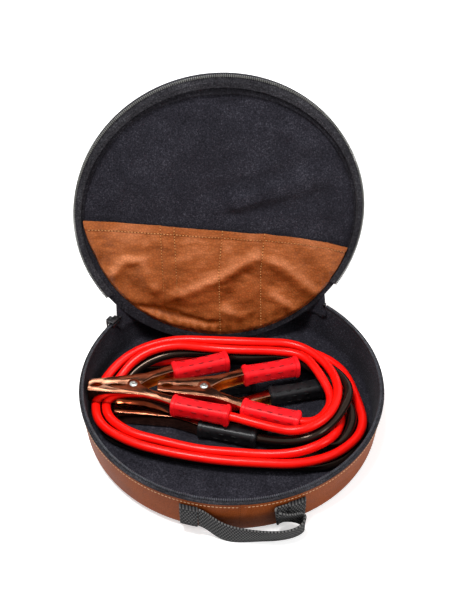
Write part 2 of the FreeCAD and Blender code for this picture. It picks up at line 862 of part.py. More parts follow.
def half_outline(side):
    # side 1 is the upper half, -1 the lower; the arcs along the parting line leave the two
    # lens-shaped gaps between the closed jaws
    points = [
        (-nose, parting), (-nose + 4, parting),
        (-nose + 9.5, 2.8, -nose + 15, parting),
        (-nose + 20, parting),
        (-nose + 28, 1.5, -nose + 36, parting),
        (-ear, parting),
        (0, -ear, ear, parting),
        (ear + 1.0, 0.6), (reach - 21, 8.0),
        (reach - 2, arm_centre(reach - 2) - half_arm),
        (arm_end, arm_centre(arm_end) - half_arm),
        (arm_end, arm_centre(arm_end) + half_arm),
        (reach, arm_centre(reach) + half_arm),
        (reach - 14, 20.4, 10, 15.2),
        (-17, 11.6, -nose + 3.5, 8.4),
        (-nose + 0.9, 7.5, -nose, 5.0),
    ]
    return [tuple(value if place % 2 == 0 else side * value for place, value in enumerate(point))
            for point in points]


def channel_outline(side):
    # the space between the side plates, inside the web that follows the back and the nose
    web = number("web")
    beyond = arm_end + 10
    points = [
        (-nose + web, -ear - 3), (-nose + web, 4.6),
        (-nose + web + 0.7, 6.4, -nose + 4.0, 8.4 - web),
        (-17, 11.6 - web, 10, 15.2 - web),
        (reach - 14, 20.4 - web, reach, arm_centre(reach) + half_arm - web),
        (beyond, arm_centre(beyond) + half_arm - web),
        (beyond, -ear - 3),
    ]
    return [tuple(value if place % 2 == 0 else side * value for place, value in enumerate(point))
            for point in points]


def clamp_half(side, half_width):
    body = prism(half_outline(side), -half_width, half_width, outline_chords)
    inside = half_width - number("plate")
    channel = prism(channel_outline(side), -inside, inside, channel_chords)
    hole = Part.makeCylinder(number("rivet_radius") + number("rivet_play"), 4 * half_width,
                             vec(0, 0, -2 * half_width))
    return body.cut(channel).cut(hole)


outer_half = number("clamp_width") / 2
inner_half = outer_half - number("plate") - number("plate_gap")


def clamp_rivet():
    # a shaft with a flat head at each end
    height = number("rivet_head_height")
    shaft = Part.makeCylinder(number("rivet_radius"), 2 * outer_half, vec(0, 0, -outer_half))
    heads = [Part.makeCylinder(number("rivet_head_radius"), height, vec(0, 0, foot))
             for foot in (outer_half, -outer_half - height)]
    return shaft.fuse(heads).removeSplitter()


def clamp_spring():
    # A torsion spring round the rivet: turns of short straight pieces, and two legs that leave
    # along the handles, the lower one up to the web of the lower half.
    radius = number("spring_radius")
    wire = number("spring_wire") / 2
    pitch = number("spring_pitch")
    lower_lean = number("spring_lower_lean")
    upper_lean = number("spring_upper_lean")
    first = -90.0 - lower_lean
    turning = 360.0 * number("spring_turns") + 180.0 - lower_lean - upper_lean
    steps = int(round(turning / spring_step))
    low = -pitch * turning / 720.0

    def section(angle, rise, along=0.0):
        outward = vec(math.cos(angle), math.sin(angle), 0)
        forward = vec(-math.sin(angle), math.cos(angle), 0)
        middle = outward * radius + forward * along + up * rise
        ring = []
        for side in range(6):
            turn = math.radians(60 * side)
            ring.append(middle + outward * (wire * math.cos(turn)) + up * (wire * math.sin(turn)))
        return ring

    angle = math.radians(first)
    sections = [section(angle, low, number("spring_lower_leg"))]
    for step in range(steps + 1):
        angle = math.radians(first - turning * step / steps)
        sections.append(section(angle, low + pitch * turning / 360.0 * step / steps))
    sections.append(section(angle, -low, -number("spring_upper_leg")))
    return skin(sections)


def rounded_bar(length, width, depth, radius, start):
    # a bar along X whose four long edges are rounded in three chords each
    corners = []
    for quarter, (y_side, z_side) in enumerate(((1, 1), (-1, 1), (-1, -1), (1, -1))):
        middle_y = y_side * (width / 2 - radius)
        middle_z = z_side * (depth / 2 - radius)
        for step in range(4):
            angle = math.radians(90.0 * quarter + 30.0 * step)
            corners.append(vec(start, middle_y + radius * math.cos(angle),
                               middle_z + radius * math.sin(angle)))
    face = Part.Face(Part.makePolygon(corners + corners[:1]))
    return face.extrude(vec(length, 0, 0))


def clamp_grip(side, half_width, with_cable):
    # a moulded sleeve over the arm, drawn along +X from its collar and then put on the arm
    length = number("grip_length")
    width = number("grip_width")
    depth = number("grip_depth")
    ring = number("grip_ring")
    ring_length = number("grip_ring_length")
    round_edge = number("grip_round")
    sleeve = rounded_bar(length, width, depth, round_edge, 0.0)
    for start in (1.2, length - ring_length - 1.2):
        sleeve = sleeve.fuse(rounded_bar(ring_length, width + 2 * ring, depth + 2 * ring,
                                         round_edge + ring, start))
    clearance = number("grip_play")
    arm_length = number("arm_in_grip") / math.cos(math.radians(number("arm_slope")))
    room = Part.makeBox(arm_length + number("grip_room") + 5, number("arm_depth") + 2 * clearance,
                        2 * (half_width + clearance),
                        vec(-5, -number("arm_depth") / 2 - clearance, -half_width - clearance))
    sleeve = sleeve.cut(room)
    if with_cable:
        bore = number("cable_diameter") / 2 + clearance
        sleeve = sleeve.cut(Part.makeCylinder(bore, length, vec(length - number("cable_in_grip") - 1, 0, 0),
                                              vec(1, 0, 0)))
    sleeve.Placement = FreeCAD.Placement(
        vec(reach, side * offset, 0), FreeCAD.Rotation(up, side * number("arm_slope")))
    return sleeve


# Where the clamps lie: rivet, heading of the handles and height of the middle plane

felt_floor = floor_top.number + number("felt")
black_level = felt_floor + number("grip_depth") / 2 + number("grip_ring") + gap.number
red_level = black_level + number("grip_depth") + 2 * number("grip_ring") + number("level_lift")
clamps = {
    "red_left": (vec(-97.0, 8.5, red_level), -4.0),
    "red_right": (vec(-27.5, -0.5, red_level), -7.0),
    "black_left": (vec(-71.5, -4.5, black_level), -4.0),
    "black_right": (vec(-1.5, -13.5, black_level), -7.0),
}
clamp_places = {}
for name, (rivet_at, heading) in clamps.items():
    place = FreeCAD.Placement(rivet_at, FreeCAD.Rotation(up, heading))
    clamp_places[name] = place
    shapes = {
        "lower_jaw": clamp_half(-1, outer_half),
        "upper_jaw": clamp_half(1, inner_half),
        "rivet": clamp_rivet(),
        "spring": clamp_spring(),
        "lower_grip": clamp_grip(-1, outer_half, True),
        "upper_grip": clamp_grip(1, inner_half, False),
    }
    for kind, shape in shapes.items():
        piece = solid_piece(name + "_" + kind, shape)
        piece.Placement = place.multiply(piece.Placement)

# Cables: each leaves one clamp's lower grip, runs round the case above the black or red lead,
# goes down to its lower level for a lap and a half, turns back on itself behind the clamps and
# returns beside itself to the other clamp of its colour. Route points are (across, along, height
# above the felt), in order along the cable.

cable = number("cable_diameter")
cable_sides = 8
cable_step = 24.0


def grip_mouth(name, run):
    # where the cable starts inside the lower grip, and where it first bends outside
    slant = math.radians(-number("arm_slope"))
    inner = number("grip_length") - number("cable_in_grip")
    outer = number("grip_length") + run
    along = vec(math.cos(slant), math.sin(slant), 0)
    root = vec(reach, -offset, 0)
    place = clamp_places[name]
    return place.multVec(root + along * inner), place.multVec(root + along * outer)


def turn_back(colour):
    # half a turn of the least bend radius, drawn as the corners of the polygon around it
    across = number(colour + "_turn_x")
    along = number(colour + "_turn_y")
    height = number(colour + "_turn_rise")
    bend = number("turn_back_radius") / 0.9
    half_side = bend * math.tan(math.radians(22.5))
    return [
        (across + bend * 0.9, along + bend, height),
        (across - half_side, along + bend, height),
        (across - bend, along + half_side, height),
        (across - bend, along - half_side, height),
        (across - half_side, along - bend, height),
        (across + bend * 0.9, along - bend, height),
    ]


def cable_route(first_clamp, last_clamp, laid):
    start, leave = grip_mouth(first_clamp, number("left_grip_run"))
    finish, arrive = grip_mouth(last_clamp, number("right_grip_run"))
    points = [vec(across, along, felt_floor + height) for across, along, height in laid]
    return [start, leave] + points + [arrive, finish]


red_out = [
    (27.5, -51, 30), (57.5, -66, 34), (90, -51.5, 37), (107, -17.5, 36.5), (101.5, 22, 34),
    (74.5, 54.5, 34), (31, 58.5, 35.5), (-13.5, 65.5, 35), (-59, 72, 34.5), (-103.5, 60, 29),
    (-134, 28, 16.5), (-138, -17.5, 15), (-104.5, -47.5, 15), (-64.5, -64, 15), (-23.5, -76, 14.5),
    (17.5, -83.5, 15), (58.5, -89, 15), (98, -79, 15), (128, -50.5, 15.5), (126.5, -8, 15),
    (119.5, 34.5, 15), (86, 64, 15), (41.5, 73, 15), (-16, 78.5, 15), (-60, 79, 15),
]
red_back = [
    (-59.5, 56.5, 17), (-31.5, 65.5, 14), (26.5, 64, 15), (83, 53.5, 14.5), (105, 33.5, 14.5),
    (116, 6, 16.5), (110.5, -21.5, 12.5), (102, -48.5, 16.5), (88, -71, 26.5), (60, -79.5, 21.5),
    (30, -75, 15), (-2.5, -69, 15), (-37, -62.5, 15), (-71, -48.5, 14.5), (-106.5, -35, 16),
    (-130, -5, 15.5), (-116.5, 31, 17.5), (-91.5, 54.5, 32), (-55.5, 60.5, 38), (-20, 57, 32.5),
    (14, 50, 33.5), (47, 46.5, 33.5), (78.5, 38, 34), (90.5, 8, 35), (99.5, -21.5, 28.5),
    (85.5, -44.5, 29),
]
black_out = [
    (46.5, -63, 18.5), (74.5, -66.5, 27), (99, -46.5, 27.5), (118, -19.5, 35.5), (112, 15.5, 27),
    (86.5, 44.5, 22), (48.5, 61.5, 26), (5, 63.5, 25.5), (-38.5, 74, 21.5), (-82, 81.5, 33.5),
    (-116, 57, 16), (-135, 17, 4.5), (-132.5, -28.5, 5), (-93.5, -53, 5), (-50.5, -72, 5),
    (-3.5, -82.5, 5), (45.5, -86, 5), (95, -94, 5), (129.5, -55.5, 5), (128.5, -4, 5),
    (112, 45.5, 5), (65, 69.5, 5), (8, 76, 5), (-57, 81, 5),
]
black_back = [
    (-57, 61, 5), (-29, 68.5, 5), (28.5, 63.5, 5), (85.5, 50.5, 5), (114.5, 14.5, 5),
    (119, -31.5, 5), (107, -75, 5), (62, -76, 6), (18.5, -75, 5), (-23.5, -68, 5), (-62.5, -56, 5),
    (-98.5, -38.5, 5), (-128, -12.5, 6), (-116.5, 25, 5.5), (-91.5, 50.5, 20.5), (-54, 58.5, 28.5),
    (-16, 60, 20.5), (21, 47.5, 24), (59.5, 49, 22.5), (88, 25.5, 24.5), (107.5, -4, 26),
    (119, -35.5, 20.5), (108.5, -57.5, 14),
]
red_laid = red_out + turn_back("red") + red_back
black_laid = black_out + turn_back("black") + black_back

red_tube, red_line = cable_tube(cable_route("red_left", "red_right", red_laid), cable, "red cable")
red_cable = solid_piece("red_cable", red_tube)
black_tube, black_line = cable_tube(
    cable_route("black_left", "black_right", black_laid), cable, "black cable")
black_cable = solid_piece("black_cable", black_tube)


def least_gap(line, other=None):
    # least distance between surfaces, measured on points along the middle lines
    step = 4.0
    near = 3.2 * cable
    mine = line.discretize(Distance=step)
    theirs = mine if other is None else other.discretize(Distance=step)
    least = 1e9
    for i, point in enumerate(mine):
        for j, another in enumerate(theirs):
            if other is None and abs(i - j) * step < near:
                continue
            gap_here = (point - another).Length - cable
            if gap_here < least:
                least = gap_here
                where = point
    return least, where


for label, line, other in (
    ("red cable to itself", red_line, None),
    ("black cable to itself", black_line, None),
    ("red cable to black cable", red_line, black_line),
):
    least, where = least_gap(line, other)
    print("%s: least gap %.2f near (%.0f, %.0f, %.0f)" % (label, least, where.x, where.y, where.z))

# Checks and export

doc.recompute()
for item in doc.Objects:
    if "Invalid" in item.State or "Error" in item.State:
        raise RuntimeError("%s failed: %s" % (item.Name, item.State))
for piece in pieces:
    shape = piece.Shape
    if shape.isNull() or not shape.isValid() or not shape.Solids:
        raise RuntimeError("%s has no valid solid" % piece.Label)
for piece in pieces:
    piece.Shape.exportStep("parts/%s.step" % piece.Label)
print("%d pieces written" % len(pieces))
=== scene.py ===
# Jump leads in a round leather zip case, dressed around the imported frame. Sizes are in millimetres.
from math import atan2, cos, degrees, exp, hypot, pi, radians, sin, sqrt, tan

import bmesh
import bpy
from mathutils import Matrix, Vector, noise


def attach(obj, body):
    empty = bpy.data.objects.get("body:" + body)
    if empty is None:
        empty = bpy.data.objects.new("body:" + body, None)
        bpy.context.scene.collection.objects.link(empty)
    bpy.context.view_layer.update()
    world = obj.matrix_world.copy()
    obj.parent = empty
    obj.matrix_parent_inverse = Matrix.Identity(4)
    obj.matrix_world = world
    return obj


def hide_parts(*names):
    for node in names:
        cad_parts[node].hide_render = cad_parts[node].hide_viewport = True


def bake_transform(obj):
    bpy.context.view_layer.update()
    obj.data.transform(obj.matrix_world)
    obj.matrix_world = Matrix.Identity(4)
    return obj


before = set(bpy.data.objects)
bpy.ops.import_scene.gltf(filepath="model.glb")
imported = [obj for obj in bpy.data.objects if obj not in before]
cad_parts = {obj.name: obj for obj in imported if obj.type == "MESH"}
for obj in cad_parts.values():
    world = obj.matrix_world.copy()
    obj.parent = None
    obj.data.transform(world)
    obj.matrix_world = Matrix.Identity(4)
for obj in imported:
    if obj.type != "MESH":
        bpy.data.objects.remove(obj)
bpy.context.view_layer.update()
mm = 0.001
print("frame loaded")


# node helpers

def addNode(tree, kind, values=None, **settings):
    node = tree.nodes.new(kind)
    for key, value in settings.items():
        setattr(node, key, value)
    for key, value in (values or {}).items():
        node.inputs[key].default_value = value
    return node


def wire(tree, *links):
    # each link is a node and its output, then a node and its input
    for source, output, target, entry in links:
        tree.links.new(source.outputs[output], target.inputs[entry])


def calculate(tree, operation, *values):
    # a sum on numbers and on other nodes' outputs
    node = addNode(tree, "ShaderNodeMath", operation=operation)
    for socket, value in zip(node.inputs, values):
        if isinstance(value, (int, float)):
            socket.default_value = value
        else:
            tree.links.new(value, socket)
    return node.outputs[0]


def weighed(tree, first, firstShare, second, secondShare):
    return calculate(tree, "ADD", calculate(tree, "MULTIPLY", first, firstShare),
                     calculate(tree, "MULTIPLY", second, secondShare))


def tone(screen):
    # a screen colour, 0 to 255, as the shader wants it
    shares = [value / 255 for value in screen]
    return tuple(share / 12.92 if share <= 0.04045 else ((share + 0.055) / 1.055) ** 2.4
                 for share in shares) + (1.0,)


def colourRamp(tree, shader, source, places, tones):
    # the base colour, from dark to light
    ramp = addNode(tree, "ShaderNodeValToRGB")
    elements = ramp.color_ramp.elements
    while len(elements) < len(places):
        elements.new(0.5)
    for element, place, screen in zip(elements, places, tones):
        element.position = place
        element.color = tone(screen)
    tree.links.new(source, ramp.inputs["Fac"])
    wire(tree, (ramp, "Color", shader, "Base Color"))
    return ramp.outputs["Color"]


def noiseAt(tree, coordinates, scale, detail=4.0, roughness=0.55, stretch=None):
    node = addNode(tree, "ShaderNodeTexNoise", {"Scale": scale, "Detail": detail, "Roughness": roughness})
    if stretch:
        mapping = addNode(tree, "ShaderNodeMapping", {"Scale": stretch})
        tree.links.new(coordinates, mapping.inputs["Vector"])
        coordinates = mapping.outputs["Vector"]
    tree.links.new(coordinates, node.inputs["Vector"])
    return node.outputs["Fac"]


def bumpFrom(tree, shader, height, strength, distance):
    bump = addNode(tree, "ShaderNodeBump", {"Strength": strength, "Distance": distance * mm})
    tree.links.new(height, bump.inputs["Height"])
    wire(tree, (bump, "Normal", shader, "Normal"))


def startFinish(roughness, **sockets):
    # a finish, its tree, its shader and the place on the object
    finish = bpy.data.materials.new("finish")
    finish.use_nodes = True
    tree = finish.node_tree
    shader = tree.nodes["Principled BSDF"]
    shader.inputs["Roughness"].default_value = roughness
    for key, value in sockets.items():
        shader.inputs[key.replace("_", " ")].default_value = value
    return finish, tree, shader, addNode(tree, "ShaderNodeTexCoord").outputs["Object"]


# finishes: tones run from dark to light, scales are in cycles per metre

def leatherFinish(tones, cloudScale, grainScale, bump, roughness, specular, foldShading=0.0):
    finish, tree, shader, place = startFinish(roughness, Specular_IOR_Level=specular)
    cloud = noiseAt(tree, place, cloudScale, 6.0, 0.62)
    if foldShading:
        # painted light and shade: folds that stand out and their lit upper sides are paler, hollows darker
        folds = addNode(tree, "ShaderNodeAttribute", attribute_name="foldShading").outputs["Fac"]
        cloud = weighed(tree, cloud, 1 - foldShading, folds, foldShading)
    creases = addNode(tree, "ShaderNodeTexVoronoi", {"Scale": grainScale}, feature="DISTANCE_TO_EDGE")
    tree.links.new(place, creases.inputs["Vector"])
    fromCrease = creases.outputs["Distance"]
    # painted shade: the grain's creases are darker over their width
    creaseWidth, creaseShadeTone, creaseShare = 0.22, 0.62, 0.75
    creaseShade = calculate(tree, "MULTIPLY_ADD", calculate(tree, "MINIMUM", fromCrease, creaseWidth),
                     (1 - creaseShadeTone) / creaseWidth, creaseShadeTone)
    colour = colourRamp(tree, shader, cloud, (0.25, 0.52, 0.78), tones)
    mix = addNode(tree, "ShaderNodeMix", {"Factor": creaseShare}, data_type="RGBA", blend_type="MULTIPLY")
    tree.links.new(colour, mix.inputs[6])
    tree.links.new(creaseShade, mix.inputs[7])
    wire(tree, (mix, 2, shader, "Base Color"))
    fine = noiseAt(tree, place, grainScale * 2.5, 3.0)
    height = weighed(tree, calculate(tree, "MINIMUM", fromCrease, 0.3), 1.0, fine, 0.35)
    bumpFrom(tree, shader, height, bump, 0.7)
    gloss = calculate(tree, "MULTIPLY_ADD", cloud, 0.3, roughness - 0.15)
    tree.links.new(gloss, shader.inputs["Roughness"])
    return finish


def clothFinish(tones, fibreScale, sheen, bump):
    # felt and tape: a matt fibre mottle with paler specks
    finish, tree, shader, place = startFinish(0.92, Specular_IOR_Level=0.06, Sheen_Weight=sheen,
                                              Sheen_Roughness=0.45)
    fibre = noiseAt(tree, place, fibreScale, 8.0, 0.75)
    both = weighed(tree, fibre, 0.8, noiseAt(tree, place, 30.0, 4.0), 0.2)
    colourRamp(tree, shader, both, (0.36, 0.54, 0.72), tones)
    bumpFrom(tree, shader, fibre, bump, 0.5)
    return finish


def mouldedFinish(tones, cloudScale, roughness, specular, bump, tint=(1.0, 1.0, 1.0, 1.0)):
    # plastic of grips, sheaths and teeth, and thread
    finish, tree, shader, place = startFinish(roughness, Specular_IOR_Level=specular, Specular_Tint=tint)
    colourRamp(tree, shader, noiseAt(tree, place, cloudScale, 4.0), (0.3, 0.7), tones)
    bumpFrom(tree, shader, noiseAt(tree, place, 700.0, 3.0), bump, 0.2)
    return finish


def metalFinish(tones, stainScale, roughness, spread, bump):
    finish, tree, shader, place = startFinish(roughness, Metallic=1.0)
    colourRamp(tree, shader, noiseAt(tree, place, stainScale, 5.0, 0.6), (0.3, 0.55, 0.75), tones)
    scratches = noiseAt(tree, place, 260.0, 4.0, 0.7, stretch=(1.0, 6.0, 6.0))
    gloss = calculate(tree, "MULTIPLY_ADD", scratches, spread, roughness - spread / 2)
    tree.links.new(gloss, shader.inputs["Roughness"])
    bumpFrom(tree, shader, scratches, bump, 0.1)
    return finish


def webbingFinish(tones, ribPitch, yarnPitch):
    # a basket weave on the piece's own UV map in millimetres
    finish, tree, shader, place = startFinish(0.8, Specular_IOR_Level=0.1, Sheen_Weight=0.05)
    parts = addNode(tree, "ShaderNodeSeparateXYZ")
    wire(tree, (addNode(tree, "ShaderNodeTexCoord"), "UV", parts, 0))

    def waves(value):
        return calculate(tree, "ABSOLUTE", calculate(tree, "SINE", calculate(tree, "MULTIPLY", value, pi)))

    row = calculate(tree, "MULTIPLY", parts.outputs["Y"], 1 / yarnPitch)
    # each row starts half a rib on
    column = weighed(tree, parts.outputs["X"], 1 / ribPitch, calculate(tree, "FLOOR", row), 0.5)
    yarns = calculate(tree, "MULTIPLY_ADD", waves(row), 0.65, 0.35)
    weave = calculate(tree, "MULTIPLY", calculate(tree, "POWER", waves(column), 0.8), yarns)
    height = weighed(tree, weave, 1.0, noiseAt(tree, place, 900.0, 5.0), 0.3)
    # the colour follows the weave's height: painted shade between the yarns, the crests paler
    colourRamp(tree, shader, height, (0.25, 0.65, 1.0), tones)
    bumpFrom(tree, shader, height, 0.8, 0.8)
    return finish


finishes = {
    "caseLeather": leatherFinish([(116, 53, 19), (140, 67, 25), (158, 80, 33)], cloudScale=16.0,
                                 grainScale=520.0, bump=0.32, roughness=0.42, specular=0.06),
    # the pocket's leather is given painted light and shade from its folds
    "pocketLeather": leatherFinish([(114, 54, 15), (168, 92, 44), (214, 134, 88)], cloudScale=30.0,
                                   grainScale=340.0, bump=0.75, roughness=0.36, specular=0.22, foldShading=0.55),
    "webbing": webbingFinish([(6, 6, 8), (44, 44, 46), (96, 95, 94)], ribPitch=3.0, yarnPitch=2.6),
}
# dark, middle and light, then fibre scale, sheen and bump
clothLooks = {
    "felt": ((10, 10, 14), (41, 40, 47), (92, 91, 100), 660.0, 0.03, 0.6),
    "edgingCloth": ((9, 9, 11), (38, 37, 42), (88, 87, 94), 560.0, 0.02, 0.8),
    "zipTape": ((14, 14, 17), (50, 49, 53), (104, 104, 109), 600.0, 0.02, 0.8),
    "board": ((60, 52, 44), (78, 68, 58), (96, 84, 70), 400.0, 0.0, 0.2),
}
# dark, middle and light, then stain scale, roughness, its spread and bump
metalLooks = {
    "copperPlate": ((134, 84, 64), (174, 118, 92), (208, 154, 126), 45.0, 0.14, 0.1, 0.05),
    "brassInside": ((180, 108, 44), (228, 158, 72), (250, 196, 112), 90.0, 0.3, 0.2, 0.2),
    "rivetSteel": ((150, 154, 150), (186, 190, 186), (214, 216, 212), 300.0, 0.32, 0.2, 0.2),
    "zipMetal": ((48, 48, 50), (70, 70, 72), (96, 96, 98), 200.0, 0.42, 0.15, 0.1),
}
# dark and light, then cloud scale, roughness, specular and bump, and a tint for the shine where it has one
mouldedLooks = {
    "redSheath": ((240, 10, 6), (250, 22, 12), 40.0, 0.28, 0.2, 0.06),
    # the black sheath's shine is tinted copper: a painted reflection of the red cables and copper jaws
    "blackSheath": ((16, 11, 10), (30, 20, 17), 40.0, 0.2, 0.3, 0.06, (1.0, 0.72, 0.56, 1.0)),
    "redGrip": ((228, 16, 26), (244, 30, 38), 120.0, 0.4, 0.16, 0.2),
    # the slot colours are painted shade: the grips' dashes are drawn darker than the rubber, as the grooves' shade
    "redSlot": ((140, 8, 14), (176, 14, 22), 300.0, 0.6, 0.2, 0.2),
    "blackGrip": ((18, 18, 20), (34, 34, 36), 120.0, 0.36, 0.2, 0.2),
    "blackSlot": ((5, 5, 6), (12, 12, 13), 300.0, 0.6, 0.2, 0.2),
    "zipTeeth": ((82, 82, 80), (112, 112, 108), 200.0, 0.3, 0.5, 0.05),
    # the base's teeth are the same zip as the lid's, painted darker as painted shade
    "shadedZipTeeth": ((34, 35, 40), (74, 76, 84), 260.0, 0.35, 0.4, 0.05),
    "thread": ((176, 118, 66), (216, 160, 100), 900.0, 0.8, 0.2, 0.4),
    "paleThread": ((205, 160, 118), (240, 206, 166), 900.0, 0.8, 0.2, 0.4),
    "blackThread": ((40, 40, 42), (64, 64, 66), 900.0, 0.8, 0.2, 0.4),
    # needle holes are dark beads of painted shade; the front join's stitches take the same colour
    "needleHole": ((60, 28, 12), (86, 42, 18), 900.0, 0.9, 0.1, 0.2),
}
for maker, looks, toneCount in ((clothFinish, clothLooks, 3), (metalFinish, metalLooks, 3),
                                (mouldedFinish, mouldedLooks, 2)):
    for finishName, look in looks.items():
        finishes[finishName] = maker(look[:toneCount], *look[toneCount:])
for finishName, finish in finishes.items():
    finish.name = finishName
print("finishes made")


# mesh helpers

def addObject(name, data):
    added = bpy.data.objects.new(name, data)
    bpy.context.scene.collection.objects.link(added)
    return added


def smoothMesh(shape, sharp):
    shape.shade_smooth()
    shape.set_sharp_from_angle(angle=radians(sharp))


def endWork(work, shape):
    work.to_mesh(shape)
    work.free()


def meshPiece(name, points, faces, finishName, sharp=35):
    # closes seams and poles, turns faces outwards and smooths all but real edges
    shape = bpy.data.meshes.new(name)
    shape.from_pydata([Vector(point) * mm for point in points], [], faces)
    shape.materials.append(finishes[finishName])
    work = bmesh.new()
    work.from_mesh(shape)
    bmesh.ops.remove_doubles(work, verts=work.verts, dist=0.004 * mm)
    bmesh.ops.recalc_face_normals(work, faces=work.faces)
    endWork(work, shape)
    smoothMesh(shape, sharp)
    return addObject(name, shape)


def evaluatedMesh(piece):
    bpy.context.view_layer.update()
    return bpy.data.meshes.new_from_object(piece.evaluated_get(bpy.context.evaluated_depsgraph_get()))


def applyModifiers(piece):
    shape, old = evaluatedMesh(piece), piece.data
    piece.modifiers.clear()
    piece.data = shape
    bpy.data.meshes.remove(old)
    return piece


def easeEdges(piece, width, sharp):
    # bevels the edges and applies what modifiers the piece has
    eased = piece.modifiers.new("ease", "BEVEL")
    eased.width = width * mm
    eased.segments = 2
    eased.limit_method = "ANGLE"
    eased.angle_limit = radians(40)
    applyModifiers(piece)
    smoothMesh(piece.data, sharp)
    return piece


def curveAt(first, second, third, along):
    # a curve from the first point to the third, drawn towards the second
    return first * (1 - along) ** 2 + second * 2 * along * (1 - along) + third * along ** 2


def depthAt(radius, x):
    # how far from the middle a circle lies at a station across it
    return sqrt(radius ** 2 - x * x)


def softCorners(corners, closed=True, steps=5):
    # corners are (x, y) or (x, y, radius); a radius rounds that corner
    rounded = []
    count = len(corners)
    for index, corner in enumerate(corners):
        if len(corner) < 3 or (not closed and index in (0, count - 1)):
            rounded.append(Vector(corner[:2]))
            continue
        here = Vector(corner[:2])
        before = Vector(corners[index - 1][:2]) - here
        after = Vector(corners[(index + 1) % count][:2]) - here
        turn = pi - before.angle(after)
        trim = min(corner[2] * tan(turn / 2), before.length * 0.49, after.length * 0.49)
        start = here + before.normalized() * trim
        end = here + after.normalized() * trim
        rounded += [curveAt(start, here, end, step / steps) for step in range(steps + 1)]
    return rounded


def between(table, place):
    # a value read from a table of (place, value), straight between its entries
    for (before, low), (after, high) in zip(table, table[1:]):
        if place <= after:
            return low + (high - low) * max(0.0, place - before) / (after - before)
    return table[-1][1]


def evenAngles(first, last, count, extra=()):
    # degrees from the first to the last, with extra close ones; a full round leaves out the last
    full = abs(last - first - 360) < 1e-6
    angles = [first + (last - first) * step / count for step in range(count if full else count + 1)]
    return sorted(angles + [angle for angle in extra if first < angle < last])


def loftedPiece(name, rings, finishName, sharp=35, closed=False, openRing=False):
    # rings of as many points each, joined one to the next; an open ring starts and ends on an axis
    size = len(rings[0])
    faces = []
    for here in range(len(rings) if closed else len(rings) - 1):
        there = (here + 1) % len(rings)
        for corner in range(size - 1 if openRing else size):
            other = (corner + 1) % size
            faces.append((here * size + corner, here * size + other, there * size + other, there * size + corner))
    if not closed:
        faces.append(tuple(range(size)))
        faces.append(tuple(range((len(rings) - 1) * size, len(rings) * size)))
    return meshPiece(name, [point for ring in rings for point in ring], faces, finishName, sharp)


def turnedPiece(name, section, angles, finishName, full=True, limit=None):
    # a section of (across, rise) turned about the case's middle; limit moves its points
    onAxis = abs(section[0][0]) < 1e-6 and abs(section[-1][0]) < 1e-6
    rings = []
    for angle in angles:
        turn = radians(angle)
        places = [limit(across, rise, turn) if limit else (across, rise) for across, rise in section]
        rings.append([(across * cos(turn), across * sin(turn), rise) for across, rise in places])
    return loftedPiece(name, rings, finishName, closed=full, openRing=onAxis)


def settle(piece, body, slotName, *nodeNames):
    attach(piece, body)
    if nodeNames:
        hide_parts(*nodeNames)


# repeated things: stitches and dashes along a path, teeth round a ring

def makeTree(name, sockets):
    tree = bpy.data.node_groups.new(name, "GeometryNodeTree")
    tree.interface.new_socket("Geometry", in_out="INPUT", socket_type="NodeSocketGeometry")
    for label, kind, value in sockets:
        socket = tree.interface.new_socket(label, in_out="INPUT", socket_type=kind)
        if value is not None:
            socket.default_value = value
    tree.interface.new_socket("Geometry", in_out="OUTPUT", socket_type="NodeSocketGeometry")
    entry, leave = tree.nodes.new("NodeGroupInput"), tree.nodes.new("NodeGroupOutput")
    # every tree places copies on points, makes them real and paints them
    place = addNode(tree, "GeometryNodeInstanceOnPoints")
    real = addNode(tree, "GeometryNodeRealizeInstances")
    paint = addNode(tree, "GeometryNodeSetMaterial")
    wire(tree, (place, "Instances", real, "Geometry"), (real, "Geometry", paint, "Geometry"),
         (entry, "Finish", paint, "Material"), (paint, "Geometry", leave, "Geometry"))
    return tree, entry, place


def alongPathTree():
    # beads of a set length and width at a set pitch along a curve
    tree, entry, place = makeTree("beadsAlongPath", [
        ("Pitch", "NodeSocketFloat", 0.003), ("Length", "NodeSocketFloat", 0.002),
        ("Width", "NodeSocketFloat", 0.0006), ("Finish", "NodeSocketMaterial", None)])
    points = addNode(tree, "GeometryNodeCurveToPoints", mode="LENGTH")
    bead = addNode(tree, "GeometryNodeMeshUVSphere", {"Segments": 6, "Rings": 5, "Radius": 0.5})
    smooth = addNode(tree, "GeometryNodeSetShadeSmooth")
    scale = addNode(tree, "ShaderNodeCombineXYZ")
    wire(tree, (entry, "Geometry", points, "Curve"), (entry, "Pitch", points, "Length"),
         (bead, "Mesh", smooth, "Geometry"), (smooth, "Geometry", place, "Instance"),
         (points, "Points", place, "Points"), (points, "Rotation", place, "Rotation"),
         (entry, "Width", scale, "X"), (entry, "Width", scale, "Y"), (entry, "Length", scale, "Z"),
         (scale, 0, place, "Scale"))
    return tree


def roundRingTree():
    # copies of the modified mesh turned about the upright axis, a set angle apart
    tree, entry, place = makeTree("copiesRoundRing", [
        ("Count", "NodeSocketInt", 10), ("First angle", "NodeSocketFloat", 0.0),
        ("Angle step", "NodeSocketFloat", 0.1), ("Finish", "NodeSocketMaterial", None)])
    line = addNode(tree, "GeometryNodeMeshLine", {"Offset": (0, 0, 0)})
    points = addNode(tree, "GeometryNodeMeshToPoints")
    index = addNode(tree, "GeometryNodeInputIndex")
    angle = addNode(tree, "ShaderNodeMath", operation="MULTIPLY_ADD")
    turn = addNode(tree, "ShaderNodeCombineXYZ")
    euler = addNode(tree, "FunctionNodeEulerToRotation")
    wire(tree, (entry, "Count", line, "Count"), (line, "Mesh", points, "Mesh"),
         (points, "Points", place, "Points"), (entry, "Geometry", place, "Instance"),
         (index, 0, angle, 0), (entry, "Angle step", angle, 1), (entry, "First angle", angle, 2),
         (angle, 0, turn, "Z"), (turn, 0, euler, 0), (euler, 0, place, "Rotation"))
    return tree


